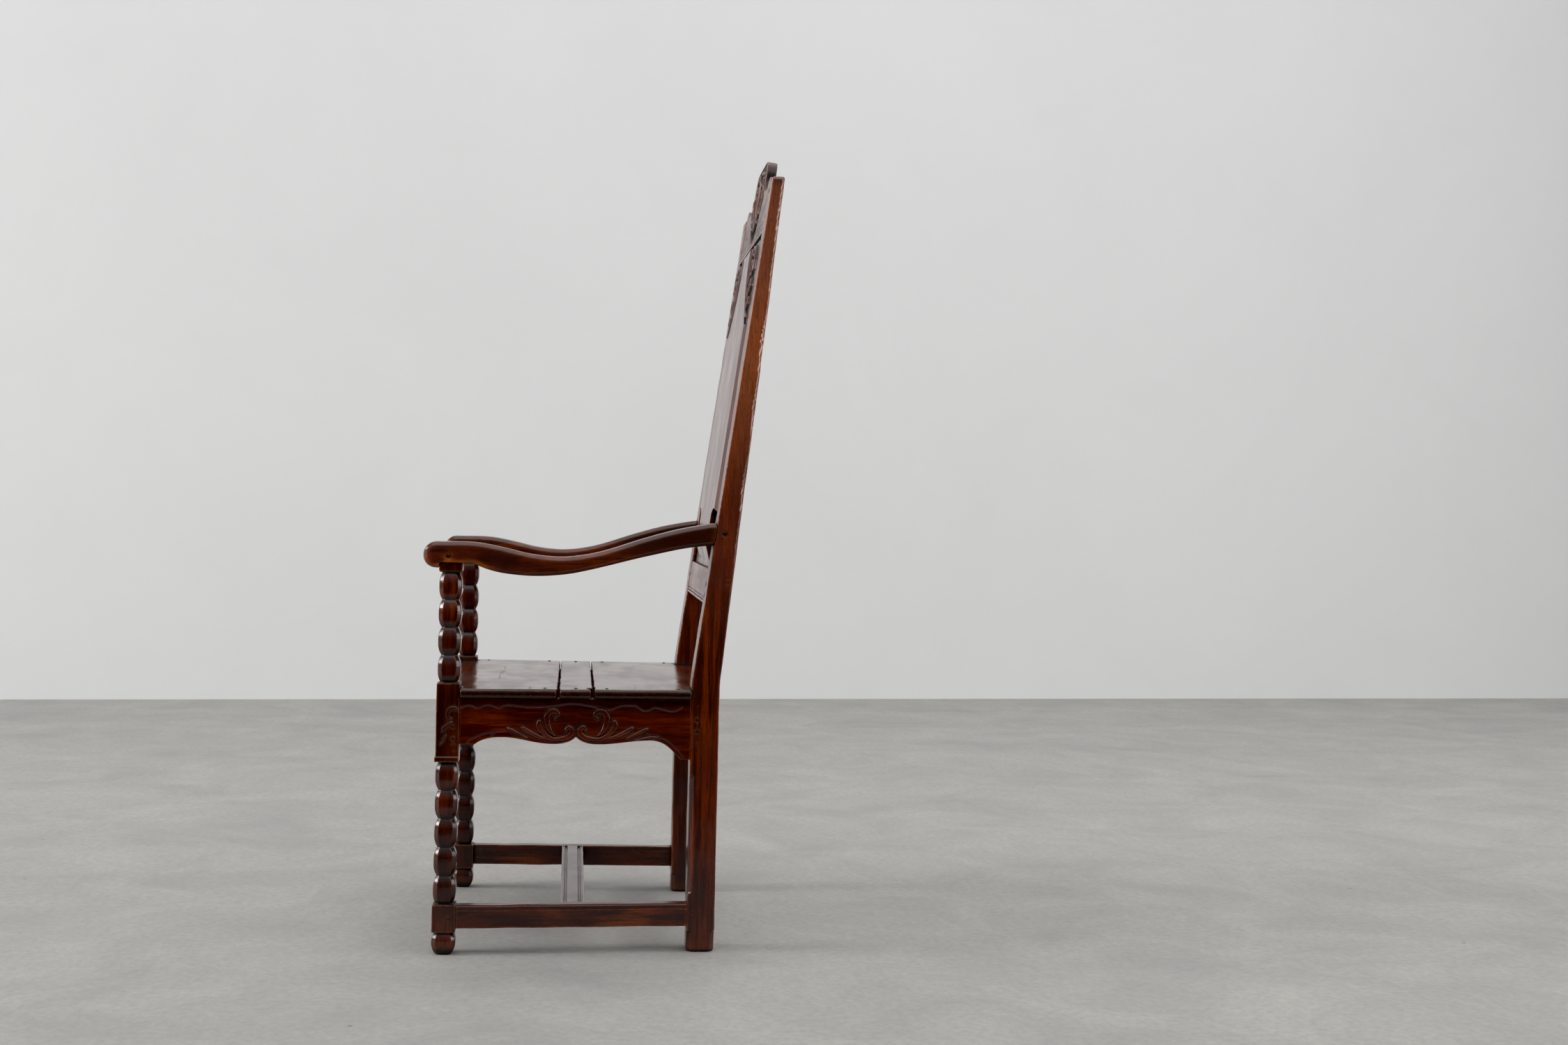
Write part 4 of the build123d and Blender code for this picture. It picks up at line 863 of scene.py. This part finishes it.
foot = [Vector((x, y, 0)) for x, y in WALL_ENDS]
run = (foot[1] - foot[0]).normalized()
left_end = foot[0] - run * WALL_RUNS_ON
right_end = foot[1] + run * WALL_RUNS_ON
wall_up = Vector((0, 0, WALL_HEIGHT))
ground("floor", [left_end, right_end, (FLOOR_END, right_end.y, 0), (FLOOR_END, left_end.y, 0)],
       plain_ground("floated_concrete", "#a7a49e", "#8c8b89", "#7b7a78", broad=300, mottle=0.62,
                    specks=0.7, rough=0.75))
ground("wall", [left_end, left_end + wall_up, right_end + wall_up, right_end],
       plain_ground("painted_plaster", "#dcdcdc", "#d8d8d8", "#d4d4d4", broad=900, mottle=0.7,
                    specks=0.0, rough=0.9))


# ---- Light and camera ----------------------------------------------------------------
def soft_light(name, place, aim, width, height, watts):
    """A wide lamp like a window or a lit ceiling, turned to where it aims."""
    data = bpy.data.lights.new(name, "AREA")
    data.shape = "RECTANGLE"
    data.size, data.size_y, data.energy = width, height, watts
    lamp = bpy.data.objects.new(name, data)
    bpy.context.scene.collection.objects.link(lamp)
    lamp.location = place
    lamp.rotation_euler = (Vector(aim) - Vector(place)).to_track_quat("-Z", "Y").to_euler()


soft_light("window", (0.4, -7.4, 3.1), (0, 0, 0.6), width=2.2, height=3.2, watts=500)
soft_light("far_window", (0.0, 6.0, 1.5), (0, 0, 0.8), width=1.6, height=2.4, watts=90)
soft_light("ceiling", (-0.8, 2.2, 5.2), (-3.4, 2.6, 0), width=8.0, height=9.0, watts=300)


def studio_air():
    """A dark room with a soft glow from above, and pale walls where the eye looks past the floor."""
    world = bpy.data.worlds.new("studio_air")
    tree = empty_tree(world)
    way = add(tree, "TexCoord", "Generated")
    height = add(tree, "SeparateXYZ", "Z", {"Vector": way})
    glow = add(tree, "MapRange", "Result", {
        "Value": height, "From Min": 0.0, "From Max": 0.6, "To Min": 0.03, "To Max": 0.40})
    seen = add(tree, "LightPath", "Is Camera Ray")
    unseen_strength, seen_strength = 2, 3  # sockets of a mix of two plain numbers
    strength = add(tree, "Mix", 0, {FACTOR: seen, unseen_strength: glow, seen_strength: 0.62},
                   data_type="FLOAT")
    air = add(tree, "Background", "Background", {"Color": (0.96, 0.98, 1.0, 1), "Strength": strength})
    add(tree, "OutputWorld", "", {"Surface": air})
    return world


scene = bpy.context.scene
scene.world = studio_air()
scene.view_settings.view_transform = "Standard"
scene.view_settings.use_curve_mapping = True
scene.view_settings.curve_mapping.black_level = (0.003, 0.003, 0.003)
scene.view_settings.curve_mapping.update()

lens = bpy.data.cameras.new("camera")
lens.sensor_width = 36
lens.lens = 43.52
camera = bpy.data.objects.new("camera", lens)
scene.collection.objects.link(camera)
camera_place = (3.52684, -0.05176, 0.76368)
right, up, back = (0.1099, 0.9937, 0.0228), (-0.0094, -0.0219, 0.9997), (0.9939, -0.1100, 0.0069)
turned = Matrix((right, up, back)).transposed().to_4x4()
camera.matrix_world = Matrix.Translation(camera_place) @ turned
scene.camera = camera
